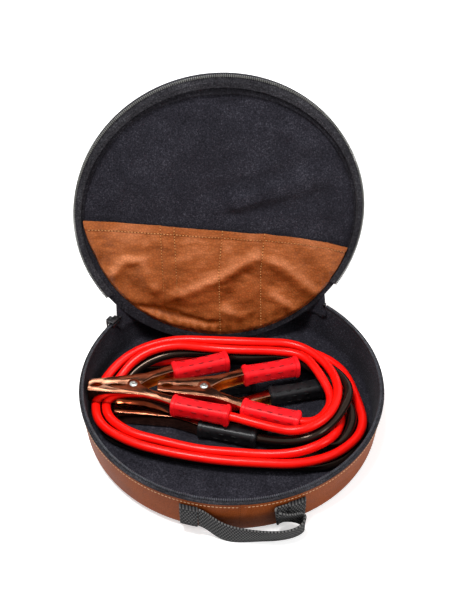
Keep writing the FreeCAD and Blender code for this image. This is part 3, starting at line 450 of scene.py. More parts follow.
beadsAlongPath = alongPathTree()
copiesRoundRing = roundRingTree()


def runTree(piece, tree, values):
    modifier = piece.modifiers.new("repeat", "NODES")
    modifier.node_group = tree
    for item in tree.interface.items_tree:
        if item.in_out == "INPUT" and item.name in values:
            modifier[item.identifier] = values[item.name]


def addSpline(shape, kind, path, lift=0.0):
    # a spline through, or drawn by, points in millimetres
    spline = shape.splines.new(kind)
    spline.points.add(len(path) - 1)
    for point, (x, y, z) in zip(spline.points, path):
        point.co = (x * mm, y * mm, (z + lift) * mm, 1)
    return spline


def beads(name, paths, finishName, pitch, length, width):
    # one mesh of beads along several paths
    shape = bpy.data.curves.new(name, "CURVE")
    shape.dimensions = "3D"
    for path in paths:
        addSpline(shape, "POLY", path)
    line = addObject(name + "Path", shape)
    runTree(line, beadsAlongPath, {"Pitch": pitch * mm, "Length": length * mm, "Width": width * mm,
                                   "Finish": finishes[finishName]})
    mesh = evaluatedMesh(line)
    bpy.data.objects.remove(line)
    return addObject(name, mesh)


def joinPieces(name, pieces):
    # several meshes made one, keeping their finishes
    shape = bpy.data.meshes.new(name)
    work = bmesh.new()
    slots = []
    for piece in pieces:
        offset = len(work.faces)
        work.from_mesh(piece.data)
        work.faces.ensure_lookup_table()
        slots += [material for material in piece.data.materials if material not in slots]
        lookup = [slots.index(material) for material in piece.data.materials]
        for face in work.faces[offset:]:
            face.material_index = lookup[face.material_index]
        bpy.data.objects.remove(piece)
    endWork(work, shape)
    for material in slots:
        shape.materials.append(material)
    return addObject(name, shape)


# camera, lamps and floor

view = {"place": (-67.6, -686.1, 780.7), "elevation": 42.22, "azimuth": 5.09, "lens": 60.72, "sensor": 36}
elevation, azimuth = radians(view["elevation"]), radians(view["azimuth"])
forward = Vector((sin(azimuth) * cos(elevation), cos(azimuth) * cos(elevation), -sin(elevation)))
cameraData = bpy.data.cameras.new("photoCamera")
cameraData.lens = view["lens"]
cameraData.sensor_width = view["sensor"]
camera = addObject("photoCamera", cameraData)
camera.location = Vector(view["place"]) * mm
camera.rotation_euler = forward.to_track_quat("-Z", "Y").to_euler()
bpy.context.scene.camera = camera
bpy.context.scene.view_settings.view_transform = "Standard"

# places and sizes in metres, power in watts
lampSizes = {
    "keyLamp": {"place": (-0.3, -0.2, 1.5), "size": 0.35, "power": 23.0},
    "sideLamp": {"place": (0.95, -0.6, 0.85), "size": 0.5, "power": 6.5},
    "rearLamp": {"place": (-0.25, 0.95, 1.05), "size": 0.6, "power": 4.0},
}
lampTarget = Vector((0, 0, 0.08))
for lampName, lamp in lampSizes.items():
    lampData = bpy.data.lights.new(lampName, "AREA")
    lampData.energy = lamp["power"]
    lampData.size = lamp["size"]
    lampObject = addObject(lampName, lampData)
    lampObject.location = lamp["place"]
    lampObject.rotation_euler = (lampTarget - lampObject.location).to_track_quat("-Z", "Y").to_euler()

# the background is white to the eye and in mirrors, and lights the object less
world = bpy.data.worlds.new("studio")
world.use_nodes = True
bpy.context.scene.world = world
air = world.node_tree
background = air.nodes["Background"]
background.inputs["Color"].default_value = (1, 1, 1, 1)
sight = addNode(air, "ShaderNodeLightPath")
strength = 0.3
for ray in ("Is Camera Ray", "Is Glossy Ray", "Is Transmission Ray"):
    strength = calculate(air, "MAXIMUM", sight.outputs[ray], strength)
air.links.new(strength, background.inputs["Strength"])

# the floor pales away from the lamps, so that it meets the background without an edge; in metres
floorSizes = {"half": 8.0, "paleFrom": 0.5, "paleTo": 2.5, "nearGlow": 0.55, "farGlow": 0.85}
half = floorSizes["half"]
floorMesh = bpy.data.meshes.new("floor")
floorMesh.from_pydata([(-half, -half, 0), (half, -half, 0), (half, half, 0), (-half, half, 0)], [], [(0, 1, 2, 3)])
floor = addObject("floor", floorMesh)
floorFinish, floorTree, floorShader, floorPlace = startFinish(
    0.9, Specular_IOR_Level=0.1, Base_Color=(0.93, 0.93, 0.93, 1), Emission_Color=(1, 1, 1, 1))
floorFinish.name = "floorPaper"
reach = addNode(floorTree, "ShaderNodeVectorMath", operation="LENGTH")
floorTree.links.new(floorPlace, reach.inputs[0])
pale = addNode(floorTree, "ShaderNodeMapRange", {
    "From Min": floorSizes["paleFrom"], "From Max": floorSizes["paleTo"],
    "To Min": floorSizes["nearGlow"], "To Max": floorSizes["farGlow"]})
wire(floorTree, (reach, "Value", pale, "Value"))
seen = calculate(floorTree, "MULTIPLY", addNode(floorTree, "ShaderNodeLightPath").outputs["Is Camera Ray"],
                 pale.outputs["Result"])
floorTree.links.new(seen, floorShader.inputs["Emission Strength"])
floorMesh.materials.append(floorFinish)
print("camera, lamps and floor set")


# cables: the routes of the two leads, points in millimetres above the table

cableLook = {"thick": 9.0, "feltTop": 5.2, "redLength": 2.033, "blackLength": 2.060, "bend": 9.0}


def turnBack(across, along, height):
    # the corners of half a turn, where a cable doubles back
    reach = cableLook["bend"] / 0.9
    side = reach * tan(radians(22.5))
    return [(across + reach * 0.9, along + reach, height), (across - side, along + reach, height),
            (across - reach, along + side, height), (across - reach, along - side, height),
            (across - side, along - reach, height), (across + reach * 0.9, along - reach, height)]


redOut = [
    (27.5, -51, 30), (57.5, -66, 34), (90, -51.5, 37), (107, -17.5, 36.5), (101.5, 22, 34),
    (74.5, 54.5, 34), (31, 58.5, 35.5), (-13.5, 65.5, 35), (-59, 72, 34.5), (-103.5, 60, 29),
    (-134, 28, 16.5), (-138, -17.5, 15), (-104.5, -47.5, 15), (-64.5, -64, 15), (-23.5, -76, 14.5),
    (17.5, -83.5, 15), (58.5, -89, 15), (98, -79, 15), (128, -50.5, 15.5), (126.5, -8, 15),
    (119.5, 34.5, 15), (86, 64, 15), (41.5, 73, 15), (-16, 78.5, 15), (-60, 79, 15),
]
redBack = [
    (-59.5, 56.5, 17), (-31.5, 65.5, 14), (26.5, 64, 15), (83, 53.5, 14.5), (105, 33.5, 14.5),
    (116, 6, 16.5), (110.5, -21.5, 12.5), (102, -48.5, 16.5), (88, -71, 26.5), (60, -79.5, 21.5),
    (30, -75, 15), (-2.5, -69, 15), (-37, -62.5, 15), (-71, -48.5, 14.5), (-106.5, -35, 16),
    (-130, -5, 15.5), (-116.5, 31, 17.5), (-91.5, 54.5, 32), (-55.5, 60.5, 38), (-20, 57, 32.5),
    (14, 50, 33.5), (47, 46.5, 33.5), (78.5, 38, 34), (90.5, 8, 35), (99.5, -21.5, 28.5),
    (85.5, -44.5, 29),
]
blackOut = [
    (46.5, -63, 18.5), (74.5, -66.5, 27), (99, -46.5, 27.5), (118, -19.5, 35.5), (112, 15.5, 27),
    (86.5, 44.5, 22), (48.5, 61.5, 26), (5, 63.5, 25.5), (-38.5, 72, 21.5), (-82, 75, 24.5),
    (-116, 54.5, 16), (-135, 17, 4.5), (-131, -27, 5), (-95, -47.5, 5), (-52, -64, 5),
    (-4, -75, 5), (45.5, -82.5, 5), (93, -86.5, 5), (128, -54.5, 5), (128.5, -4, 5),
    (112, 45.5, 5), (65, 69.5, 5), (8, 76, 5), (-57, 81, 5),
]
blackBack = [
    (-57, 61, 5), (-29, 68.5, 5), (28.5, 63.5, 5), (85.5, 50.5, 5), (114.5, 14.5, 5),
    (119, -31.5, 5), (107, -75, 5), (62, -72.5, 6), (18.5, -66.5, 5), (-23.5, -60, 5), (-62.5, -49.5, 5),
    (-98.5, -34, 5), (-126.5, -12, 6), (-116.5, 25, 5.5), (-91.5, 50.5, 20.5), (-54, 58.5, 28.5),
    (-16, 60, 20.5), (21, 47.5, 24), (59.5, 49, 22.5), (88, 25.5, 24.5), (107.5, -4, 26),
    (119, -35.5, 20.5), (108.5, -57.5, 14),
]
# where each cable starts inside its grip and where it comes out of it
redEnds = [[(-12.49, -32.95, 30), (-3.06, -36.26, 30)], [(68.6, -52.01, 30), (54.72, -46.32, 30)]]
blackEnds = [[(13.01, -45.95, 10), (22.44, -49.26, 10)], [(94.6, -65.01, 10), (80.72, -59.32, 10)]]

routes = {"red": redEnds[0] + redOut + turnBack(-86, 69, 15) + redBack + redEnds[1],
          "black": blackEnds[0] + blackOut + turnBack(-83, 71, 5) + blackBack + blackEnds[1]}
for colour, route in routes.items():
    shape = bpy.data.curves.new(colour + "Cable", "CURVE")
    shape.dimensions = "3D"
    spline = addSpline(shape, "NURBS", route, cableLook["feltTop"])
    spline.order_u = 3
    spline.use_endpoint_u = True
    spline.resolution_u = 10
    shape.bevel_depth = cableLook["thick"] / 2 * mm
    shape.bevel_resolution = 5
    shape.use_fill_caps = True
    shape.materials.append(finishes[colour + "Sheath"])
    cable = addObject(colour + "Cable", shape)
    settle(cable, "leads", colour + "_cable", colour + "_cable")
    x, y, z = route[0]
print("cables laid")


# base of the case

base = {
    "radius": 150.0, "foot": 146.0, "height": 48.0, "footRound": 12.0, "leather": 1.8, "felt": 1.4,
    "rearHeight": 34.0, "rearY": 98.0, "rearRound": 8.0, "floorTop": 3.8, "liningDrop": 4.0,
}
wallLean = (base["radius"] - base["foot"]) / (base["height"] - base["footRound"])
# the rear cut starts 98 mm back, so the rounds get closer stations there
cutStations = [angle for side in (41.0, 139.0) for angle in
               (side - 1.5, side - 0.8, side - 0.3, side, side + 0.3, side + 0.8, side + 1.5, side + 2.3)]
cutStations += [40.4, 42.2, 43.6, 44.6, 45.6, 46.6, 47.4, 132.6, 133.4, 134.4, 135.4, 136.4, 137.8, 139.6]
roundAngles = evenAngles(-180, 180, 144, cutStations)


def rearHeight(along, top, rear):
    # height of the wall a distance behind the middle: full, then rounded down to the rear
    start = base["rearY"]
    corner = base["rearRound"]
    if along <= start:
        return top
    if along >= start + corner:
        return rear
    past = along - start
    return min(top, rear + corner - sqrt(max(0.0, corner ** 2 - (corner - past) ** 2)))


def cutRear(top, rear):
    def limit(across, rise, turn):
        if sin(turn) <= 0:
            return across, rise
        highest = rearHeight(across * sin(turn), top, rear)
        if rise > highest:
            across -= wallLean * (rise - highest)
            rise = highest
        return across, rise
    return limit


innerFoot = base["footRound"] - base["leather"]
shellSection = softCorners([
    (0, 0), (base["foot"], 0, base["footRound"]), (base["radius"], base["height"], 0.7),
    (base["radius"] - base["leather"], base["height"], 0.7),
    (base["foot"] - base["leather"], base["leather"], innerFoot), (0, base["leather"])], closed=False, steps=7)
baseShell = turnedPiece("baseShell", shellSection, roundAngles, "caseLeather",
                        limit=cutRear(base["height"], base["rearHeight"]))
settle(baseShell, "case", "case_leather", "base_shell")

liningFoot = base["foot"] - base["leather"] - 0.2
liningTop = base["height"] - base["liningDrop"]
liningRim = base["foot"] + wallLean * (liningTop - base["footRound"]) - base["leather"] - 0.2
liningSection = softCorners([
    (0, base["floorTop"]), (liningFoot, base["floorTop"], 8), (liningRim, liningTop, 0.5),
    (liningRim - base["felt"], liningTop, 0.5),
    (liningFoot - base["felt"], base["floorTop"] + base["felt"], 6.6),
    (40, base["floorTop"] + base["felt"]), (0, base["floorTop"] + base["felt"])], closed=False, steps=6)
baseLining = turnedPiece("baseLining", liningSection, roundAngles, "felt",
                         limit=cutRear(liningTop, base["rearHeight"] - 1.0))
settle(baseLining, "case", "felt", "base_lining")


def wallPoint(angle, rise, proud=0.0):
    # a point of the wall's outside at an angle and a height
    across = base["foot"] + wallLean * (rise - base["footRound"]) + proud
    turn = radians(angle)
    return (across * cos(turn), across * sin(turn), rise)


# stitching round the outside under the rim, and the upright join at the front with its own stitches
rimStitches = {"drop": 5.4, "pitch": 3.6, "length": 2.6, "width": 0.95, "proud": 0.15}
rimPath = [wallPoint(angle, base["height"] - rimStitches["drop"], rimStitches["proud"])
           for angle in evenAngles(-221, 41, 240)]
joinSizes = {"at": -91.4, "width": 9.0, "thick": 0.7, "low": 12.5, "high": 47.4, "rings": 12,
             "stitchBeside": 2.6, "pitch": 3.2, "length": 2.0, "stitchWide": 0.6}
# the flap's section: shares of its half width, and how far each point stands off the wall
flapThick = joinSizes["thick"]
flapSection = [(-1, -0.3), (-1, flapThick * 0.7), (-0.8, flapThick), (0, flapThick), (0.8, flapThick * 0.5),
               (1, 0.05), (1, -0.3)]
flapHalf = degrees(joinSizes["width"] / 2 / base["radius"])
flapRings = []
for step in range(joinSizes["rings"] + 1):
    rise = joinSizes["low"] + (joinSizes["high"] - joinSizes["low"]) * step / joinSizes["rings"]
    flapRings.append([wallPoint(joinSizes["at"] + flapHalf * share, rise, proud) for share, proud in flapSection])
joinFlap = loftedPiece("joinFlap", flapRings, "caseLeather")
settle(joinFlap, "case", "case_leather")
caseStitches = beads("caseStitches", [rimPath], "paleThread", rimStitches["pitch"],
                     rimStitches["length"], rimStitches["width"])
joinPath = [wallPoint(joinSizes["at"] - degrees(joinSizes["stitchBeside"] / base["radius"]), rise, flapThick)
            for rise in (13, 24, 36, 46.5)]
# the join's stitches are dark marks in the needle holes' colour, painted shade along the seam
joinStitches = beads("joinStitches", [joinPath], "needleHole", joinSizes["pitch"], joinSizes["length"],
                     joinSizes["stitchWide"])
settle(joinStitches, "case", "case_leather")
settle(caseStitches, "case", "case_leather")
print("case base made")


# zip: tapes, teeth, stops, slider and pull

zipSizes = {"tapeRadius": 146.4, "tape": 0.8, "tapeFoot": 40.0, "beadIn": 145.7, "beadOut": 147.9, "bead": 1.8,
            "baseFoot": 48.8, "lidFoot": 51.0, "baseSpan": 263.0, "lidSpan": 250.0, "fold": 47.0,
            "lip": 141.2, "lidInner": 135.7, "pitch": 2.0, "toothLong": 2.2, "toothWide": 1.15, "toothEdge": 0.3}


def toothRow(name, low, span, finishName):
    # one rounded tooth at angle zero, then its copies round the rim
    middle = (zipSizes["beadIn"] + zipSizes["beadOut"]) / 2
    work = bmesh.new()
    bmesh.ops.create_cube(work, size=1.0, matrix=(
        Matrix.Translation((middle * mm, 0, (low + zipSizes["bead"] / 2) * mm))
        @ Matrix.Diagonal((zipSizes["toothLong"] * mm, zipSizes["toothWide"] * mm, zipSizes["bead"] * mm, 1))))
    bmesh.ops.bevel(work, geom=work.edges[:], offset=zipSizes["toothEdge"] * mm, segments=1, affect="EDGES")
    shape = bpy.data.meshes.new(name)
    endWork(work, shape)
    row = addObject(name, shape)
    step = zipSizes["pitch"] / zipSizes["tapeRadius"]
    count = int(radians(span) / step)
    runTree(row, copiesRoundRing, {"Count": count, "First angle": radians(-90) - step * (count - 1) / 2,
                                   "Angle step": step, "Finish": finishes[finishName]})
    return applyModifiers(row)


# the hinge line behind and above the case's middle, and how far the lid stands open, in degrees
hinge = {"back": 103.0, "up": 53.0, "open": -103.3}
openLid = (Matrix.Translation((0, hinge["back"] * mm, hinge["up"] * mm))
           @ Matrix.Rotation(radians(hinge["open"]), 4, "X")
           @ Matrix.Translation((0, -hinge["back"] * mm, -hinge["up"] * mm)))


def onOpenLid(piece):
    piece.data.transform(openLid)
    return piece


def lidPoint(x, y, z):
    # a point of the closed lid, in millimetres, where it is with the lid open
    return openLid @ Vector((x * mm, y * mm, z * mm)) / mm


baseSpan = evenAngles(-90 - zipSizes["baseSpan"] / 2, -90 + zipSizes["baseSpan"] / 2, 180)
lidSpan = evenAngles(-90 - zipSizes["lidSpan"] / 2, -90 + zipSizes["lidSpan"] / 2, 180)
outOfTape = zipSizes["tapeRadius"] + zipSizes["tape"]
baseTape = turnedPiece("baseTape", softCorners([
    (zipSizes["tapeRadius"], zipSizes["tapeFoot"]), (outOfTape, zipSizes["tapeFoot"]), (outOfTape, 48.05),
    (150.05, 48.05), (150.0, zipSizes["fold"]), (150.45, zipSizes["fold"]), (150.5, 48.2, 0.3),
    (150.1, zipSizes["baseFoot"], 0.3), (zipSizes["tapeRadius"], zipSizes["baseFoot"], 0.3)]),
    baseSpan, "zipTape", full=False)
settle(baseTape, "case", "zip_tape", "base_zip_tape")
# painted shade: the base's teeth take the darker copy of the tooth colour
baseTeeth = toothRow("baseTeeth", zipSizes["baseFoot"], zipSizes["baseSpan"], "shadedZipTeeth")
settle(baseTeeth, "case", "zip_teeth", "base_zip_teeth")


def tapeFollow(across, rise, turn):
    # the tape's inner lip keeps close to the band's edge, which is nearer the rim at the sides
    side = 1 - max(0.0, -sin(turn)) ** 1.5
    lip = zipSizes["lip"]
    if across < lip:
        across = lip - (lip - across) * (1 - 0.8 * side)
    return across, rise


tapeInner = zipSizes["lidInner"]
lidTape = turnedPiece("lidTape", softCorners([
    (zipSizes["beadIn"], 52.0, 0.2), (zipSizes["beadIn"], 52.8, 0.2), (141.0, 52.9), (140.4, 52.7), (139.8, 52.9),
    (tapeInner, 52.8, 0.6), (tapeInner, 55.2), (tapeInner - 0.8, 55.2), (tapeInner - 0.8, 52.0, 0.9),
    (139.6, 51.9), (140.3, 51.6), (141.0, 51.9)]), lidSpan, "zipTape", full=False, limit=tapeFollow)
sideTape = turnedPiece("sideTape", softCorners([
    (zipSizes["beadIn"], 52.85), (147.0, 52.85, 0.3), (147.45, 53.4, 0.3), (147.45, 60.6, 0.25), (146.95, 60.6),
    (146.9, 53.3), (zipSizes["beadIn"], 53.3)]), lidSpan, "zipTape", full=False)
lidTape = joinPieces("lidTape", [lidTape, sideTape])
settle(onOpenLid(lidTape), "lid", "zip_tape", "lid_zip_tape")
lidTeeth = toothRow("lidTeeth", zipSizes["lidFoot"], zipSizes["lidSpan"], "zipTeeth")
settle(onOpenLid(lidTeeth), "lid", "zip_teeth", "lid_zip_teeth")


def softCopy(name, nodeName, finishName, bevel):
    # the CAD node's own shape with its edges eased
    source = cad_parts[nodeName]
    piece = addObject(name, source.data.copy())
    piece.data.transform(source.matrix_world)
    piece.data.materials.clear()
    piece.data.materials.append(finishes[finishName])
    work = bmesh.new()
    work.from_mesh(piece.data)
    bmesh.ops.remove_doubles(work, verts=work.verts, dist=0.005 * mm)
    bmesh.ops.dissolve_limit(work, angle_limit=radians(2), verts=work.verts, edges=work.edges)
    for face in work.faces:
        face.material_index = 0
    endWork(work, piece.data)
    return easeEdges(piece, bevel, sharp=40)


for name, nodeName, body, bevel in (("zipSlider", "zip_slider", "zip_slider", 0.25),
                                    ("zipPull", "zip_pull", "zip_pull", 0.2),
                                    ("zipStops", "zip_end_stops", "case", 0.3)):
    settle(softCopy(name, nodeName, "zipMetal", bevel), body, "zip_metal", nodeName)
print("zip made")


# lid: leather shell, edging band, lining, board and pocket

lid = {"radius": 146.8, "top": 63.0, "round": 5.0, "leather": 1.8, "bandLow": 55.2, "bandTop": 57.2,
       "holeRadius": 131.0, "shift": 4.0, "liningRadius": 143.6, "feltTop": 58.7}
lidSection = softCorners([
    (0, lid["top"]), (90, lid["top"] + 0.4), (lid["radius"], lid["top"], lid["round"]),
    (lid["radius"], lid["bandTop"], 0.4), (lid["radius"] - lid["leather"], lid["bandTop"], 0.4),
    (lid["radius"] - lid["leather"], lid["top"] - lid["leather"], lid["round"] - lid["leather"]),
    (0, lid["top"] - lid["leather"])], closed=False, steps=6)
lidShell = turnedPiece("lidShell", lidSection, evenAngles(-180, 180, 144), "caseLeather")
settle(onOpenLid(lidShell), "lid", "case_leather", "lid_shell")

# how far the band's hole reaches from its middle, in degrees round the closed lid
holeReach = [(-180, 138.0), (-135, 135.5), (-90, 131.0), (-45, 135.5), (0, 138.0), (26, 138.6), (46, 138.6),
             (67, 137.0), (90, 134.8), (110, 133.0), (140, 132.2), (165, 133.0), (180, 138.0)]
# the band's section: shares of the way from the hole to the rim, and rises over its inner face
bandSection = [(0.0, 0.4), (0.02, 0.05), (0.06, -0.15), (0.5, -0.05), (0.98, 0.1), (1.0, 0.5), (1.0, 1.8),
               (0.98, 2.0), (0.5, 2.0), (0.03, 2.0), (0.0, 1.6)]
bandRings = []
for angle in evenAngles(-180, 180, 160):
    turn = radians(angle)
    ripple = 0.25 * noise.noise(Vector((cos(turn) * 9, sin(turn) * 9, 0.0)))
    hole = between(holeReach, angle)
    inner = Vector((cos(turn) * hole, sin(turn) * hole + lid["shift"], 0))
    outer = Vector((cos(turn), sin(turn), 0)) * (lid["radius"] - 0.1)
    ring = []
    for across, rise in bandSection:
        place = inner + (outer - inner) * across
        lift = ripple if across < 0.9 and rise < 1 else 0.0
        ring.append((place.x, place.y, lid["bandLow"] + rise + lift))
    bandRings.append(ring)
lidBand = loftedPiece("lidBand", bandRings, "edgingCloth", closed=True)
settle(onOpenLid(lidBand), "lid", "edging_cloth", "lid_binding")


def cloudAt(x, y, size, seed):
    # smooth noise about zero, size millimetres across
    return noise.noise(Vector((x / size, y / size, seed)))


def foldAt(x, y, line, width):
    # one on the fold's line, falling to nothing beside it and at its ends
    nearest = 1e9
    passed = 0.0
    along = 0.0
    for (ax, ay), (bx, by) in zip(line, line[1:]):
        length = hypot(bx - ax, by - ay)
        share = max(0.0, min(1.0, ((x - ax) * (bx - ax) + (y - ay) * (by - ay)) / length ** 2))
        away = hypot(x - ax - (bx - ax) * share, y - ay - (by - ay) * share)
        if away < nearest:
            nearest, along = away, passed + share * length
        passed += length
    ends = min(1.0, along / 12 + 0.15) * min(1.0, (passed - along) / 12 + 0.15)
    return exp(-(nearest / width) ** 2) * ends


liningFolds = [([(4, 2), (40, -6), (80, -9), (122, -22)], 7, -2.6), ([(6, -10), (60, -24), (118, -44)], 10, 4.4),
               ([(60, -95), (100, -70), (118, -40)], 9, 2.0), ([(-110, -50), (-70, -30), (-40, -20)], 14, 1.4),
               ([(-60, -60), (0, -84), (40, -92)], 14, 1.4), ([(20, -40), (70, -62), (105, -80)], 8, 1.8),
               ([(-30, -20), (20, -36), (60, -70)], 8, -1.2)]


def liningWrinkle(x, y):
    far = hypot(x, y - lid["shift"])
    calm = max(0.0, min(1.0, (lid["holeRadius"] - 3 - far) / 18))
    lift = 0.8 * cloudAt(x, y, 46, 3.1) + 0.35 * cloudAt(x, y, 18, 8.4)
    lift += sum(high * foldAt(x, y, line, width) for line, width, high in liningFolds)
    return max(-0.9, min(3.9, lift + 0.5)) * calm


liningGrid = {"rings": 44, "turns": 128, "firstRadius": 4.0}
liningTurns, liningStart = liningGrid["turns"], liningGrid["firstRadius"]
liningPoints = [(0, 0, lid["bandTop"] - liningWrinkle(0, 0))]
liningFaces = []
liningRadii = [liningStart + (lid["liningRadius"] - liningStart) * step / liningGrid["rings"]
               for step in range(liningGrid["rings"] + 1)]
for radius in liningRadii:
    for step in range(liningTurns):
        turn = 2 * pi * step / liningTurns
        x, y = radius * cos(turn), radius * sin(turn)
        liningPoints.append((x, y, lid["bandTop"] - liningWrinkle(x, y)))
for step in range(liningTurns):
    after = (step + 1) % liningTurns
    liningFaces.append((0, 1 + step, 1 + after))
    for ring in range(len(liningRadii) - 1):
        here = 1 + ring * liningTurns
        there = here + liningTurns
        liningFaces.append((here + step, there + step, there + after, here + after))
lastRing = 1 + (len(liningRadii) - 1) * liningTurns
rimStart = len(liningPoints)
for step in range(liningTurns):
    turn = 2 * pi * step / liningTurns
    liningPoints.append((lid["liningRadius"] * cos(turn), lid["liningRadius"] * sin(turn), lid["feltTop"]))
liningPoints.append((0, 0, lid["feltTop"]))
for step in range(liningTurns):
    after = (step + 1) % liningTurns
    liningFaces.append((lastRing + step, rimStart + step, rimStart + after, lastRing + after))
    liningFaces.append((rimStart + step, len(liningPoints) - 1, rimStart + after))
lidLining = meshPiece("lidLining", liningPoints, liningFaces, "felt")
settle(onOpenLid(lidLining), "lid", "felt", "lid_lining")

pocket = {"front": 52.8, "thick": 1.5, "seams": (-62.0, -48.0, -3.0, 41.0), "shortSeam": 76.0,
          "hem": 7.3, "hemSlope": -0.014, "columns": 170, "rows": 88}
pocketEdge = [(-138.0, -4.6), (-105, -0.9), (-62.5, 5.6), (-47.7, 8.0), (1, 15.4), (45, 21.4), (83, 28.2),
              (112, 35.6), (140, 44.8)]
pocketFoot = sorted(
    (cos(radians(angle)) * between(holeReach, angle),
     lid["shift"] + sin(radians(angle)) * between(holeReach, angle)) for angle in range(15, 181))
pocketLeft, pocketRight = -137.9, 131.9


def pocketTop(x):
    return between(pocketEdge, x)


def pocketBottom(x):
    return between(pocketFoot, x)


def pocketHem(x):
    return pocket["hem"] + pocket["hemSlope"] * x


pocketFolds = [
    ([(-122, 5), (-117, 28), (-116, 56)], 8, -2.0), ([(-97, 66), (-88, 78), (-80, 90)], 8, -1.8),
    ([(-117, 62), (-99, 42), (-84, 43), (-76, 70), (-64, 86)], 6, 3.0),
    ([(-60, 88), (-36, 83), (-4, 70), (16, 58), (35, 48), (46, 48)], 7, 3.4),
    ([(44, 48), (64, 59), (84, 80), (103, 99)], 7, 3.2), ([(0, 108), (15, 76), (36, 60)], 9, -2.4),
    ([(47, 110), (54, 76), (66, 70)], 8, -2.2),
    ([(-98, 95), (-73, 100), (-45, 111), (-17, 121), (2, 123)], 3.5, -2.6),
    ([(-88, 106), (-52, 119), (-12, 129)], 5, 1.4), ([(-4, 106), (19, 116), (37, 107)], 5, 1.5),
    ([(45, 88), (75, 110), (86, 117)], 6, 2.6), ([(76, 38), (91, 62), (109, 92)], 9, -1.2),
    ([(-30, 100), (0, 96), (18, 88)], 6, -1.2), ([(-56, 98), (-30, 104), (-6, 110)], 7, -1.2),
    ([(92, 52), (112, 62), (124, 66)], 7, 1.0), ([(-104, 16), (-84, 22), (-70, 30)], 8, 0.8)]


def pocketLift(x, y):
    # how far the leather stands out of its flat plane
    top = pocketTop(x)
    bottom = pocketBottom(x)
    if bottom - top < 1:
        return 0.0
    marks = [pocketLeft, *pocket["seams"], pocketRight]
    puff = 0.0
    for start, end in zip(marks, marks[1:]):
        if start <= x <= end:
            width = end - start
            puff = sin(pi * (x - start) / width) ** 0.6 * min(1.0, width / 40)
    down = max(0.0, min(1.0, (y - top) / (bottom - top)))
    lift = 1.2 * puff * sin(pi * min(1.0, 0.25 + 0.75 * down)) ** 0.8
    lift += 1.0 * cloudAt(x, y, 30, 1.7) + 0.6 * cloudAt(x, y, 13, 5.2) + 0.3 * cloudAt(x * 0.8, y * 1.3, 6, 7.7)
    if y - top > 3:
        lift += 0.72 * sum(high * foldAt(x, y, line, width) for line, width, high in pocketFolds)
    gather = max(0.0, 1 - (bottom - y) / 24)
    lift += 1.0 * gather * sin(x * 0.62 + 3 * cloudAt(x, y, 20, 2.0)) * (1.0 if -75 < x < 70 else 0.4)
    seamDip = min(abs(x - seamAcross(seam, y)) for seam in pocket["seams"])
    if seamDip < 2.6:
        lift -= 0.9 * (1 - seamDip / 2.6)
    return max(-2.0, min(4.3, lift)) * min(1.0, (bottom - y) / 7)


def seamAcross(seam, y):
    # the two long seams lean a little
    return seam + (5.0 * max(0.0, 1 - (y - 16) / 45) if seam > -40 else 0.6)


def pocketSurface(x, y, proud=0.0):
    return lidPoint(x, y, pocket["front"] - pocketLift(x, y) - proud)


pocketPoints = []
columns, rows = pocket["columns"], pocket["rows"]
for side in (0, 1):
    for column in range(columns + 1):
        x = pocketLeft + (pocketRight - pocketLeft) * (0.5 - 0.5 * cos(pi * column / columns))
        top, bottom = pocketTop(x), pocketBottom(x)
        for row in range(rows + 1):
            down = row / rows
            y = top + (bottom - top) * down
            hem = 0.6 if y - top < pocketHem(x) else 0.0
            flat = pocket["front"] - pocketLift(x, y) - hem
            settleBack = max(0.0, 1 - (bottom - y) / 5) * 2.6
            z = min(flat + settleBack, lid["bandTop"] - 0.5)
            back = min(z + pocket["thick"] + hem, lid["bandTop"] - 0.2)
            pocketPoints.append((x, y, z if side == 0 else back))
pocketFaces = []
stride = rows + 1
backStart = (columns + 1) * stride
for column in range(columns):
    for row in range(rows):
        corner = column * stride + row
        pocketFaces.append((corner, corner + stride, corner + stride + 1, corner + 1))
        far = backStart + corner
        pocketFaces.append((far, far + 1, far + stride + 1, far + stride))
    for row in (0, rows):
        corner = column * stride + row
        pocketFaces.append((corner, backStart + corner, backStart + corner + stride, corner + stride))
lidPocket = meshPiece("lidPocket", pocketPoints, pocketFaces, "pocketLeather", sharp=60)
foldShading = lidPocket.data.attributes.new("foldShading", "FLOAT", "POINT")
for vertex, value in zip(lidPocket.data.vertices, foldShading.data):
    x, y, z = vertex.co / mm
    above = pocketLift(x, y - 2.5) if y - 2.5 > pocketTop(x) + 3 else pocketLift(x, y)
    # painted light and shade: the upper side of a fold faces the lamp and is painted paler, folds that stand out are
    # paler and hollows darker, and the leather is darker towards the bottom
    down = (y - pocketTop(x)) / max(1.0, pocketBottom(x) - pocketTop(x))
    value.value = max(0.0, min(1.0, 0.62 - 0.3 * down + 0.06 * (pocketLift(x, y) - 0.8)
                               + 0.36 * (pocketLift(x, y) - above)))
settle(onOpenLid(lidPocket), "lid", "pocket_leather", "lid_pocket")

pocketStitch = {"pitch": 3.3, "length": 2.3, "width": 1.0, "proud": 0.1, "hole": 1.1, "step": 1.5}
hemPath = []
x = pocketLeft + 5
while x < pocketRight - 3:
    y = pocketTop(x) + pocketHem(x)
    hemPath.append(tuple(pocketSurface(x, y, pocketStitch["proud"] + 0.3)))
    x += pocketStitch["step"]
stitchPaths = [hemPath]
for seam in pocket["seams"]:
    y = pocketTop(seam) + 1.0
    last = pocketBottom(seam) - 5
    if seam < -40:
        last = pocketTop(seam) + pocket["shortSeam"]
    seamPath = []
    while y < last:
        early = 0.6 if y - pocketTop(seam) < pocketHem(seam) else 0.0
        seamPath.append(tuple(pocketSurface(seamAcross(seam, y), y, pocketStitch["proud"] + early)))
        y += pocketStitch["step"]
    stitchPaths.append(seamPath)
pocketThreads = beads("pocketThreads", stitchPaths, "thread", pocketStitch["pitch"],
                      pocketStitch["length"], pocketStitch["width"])
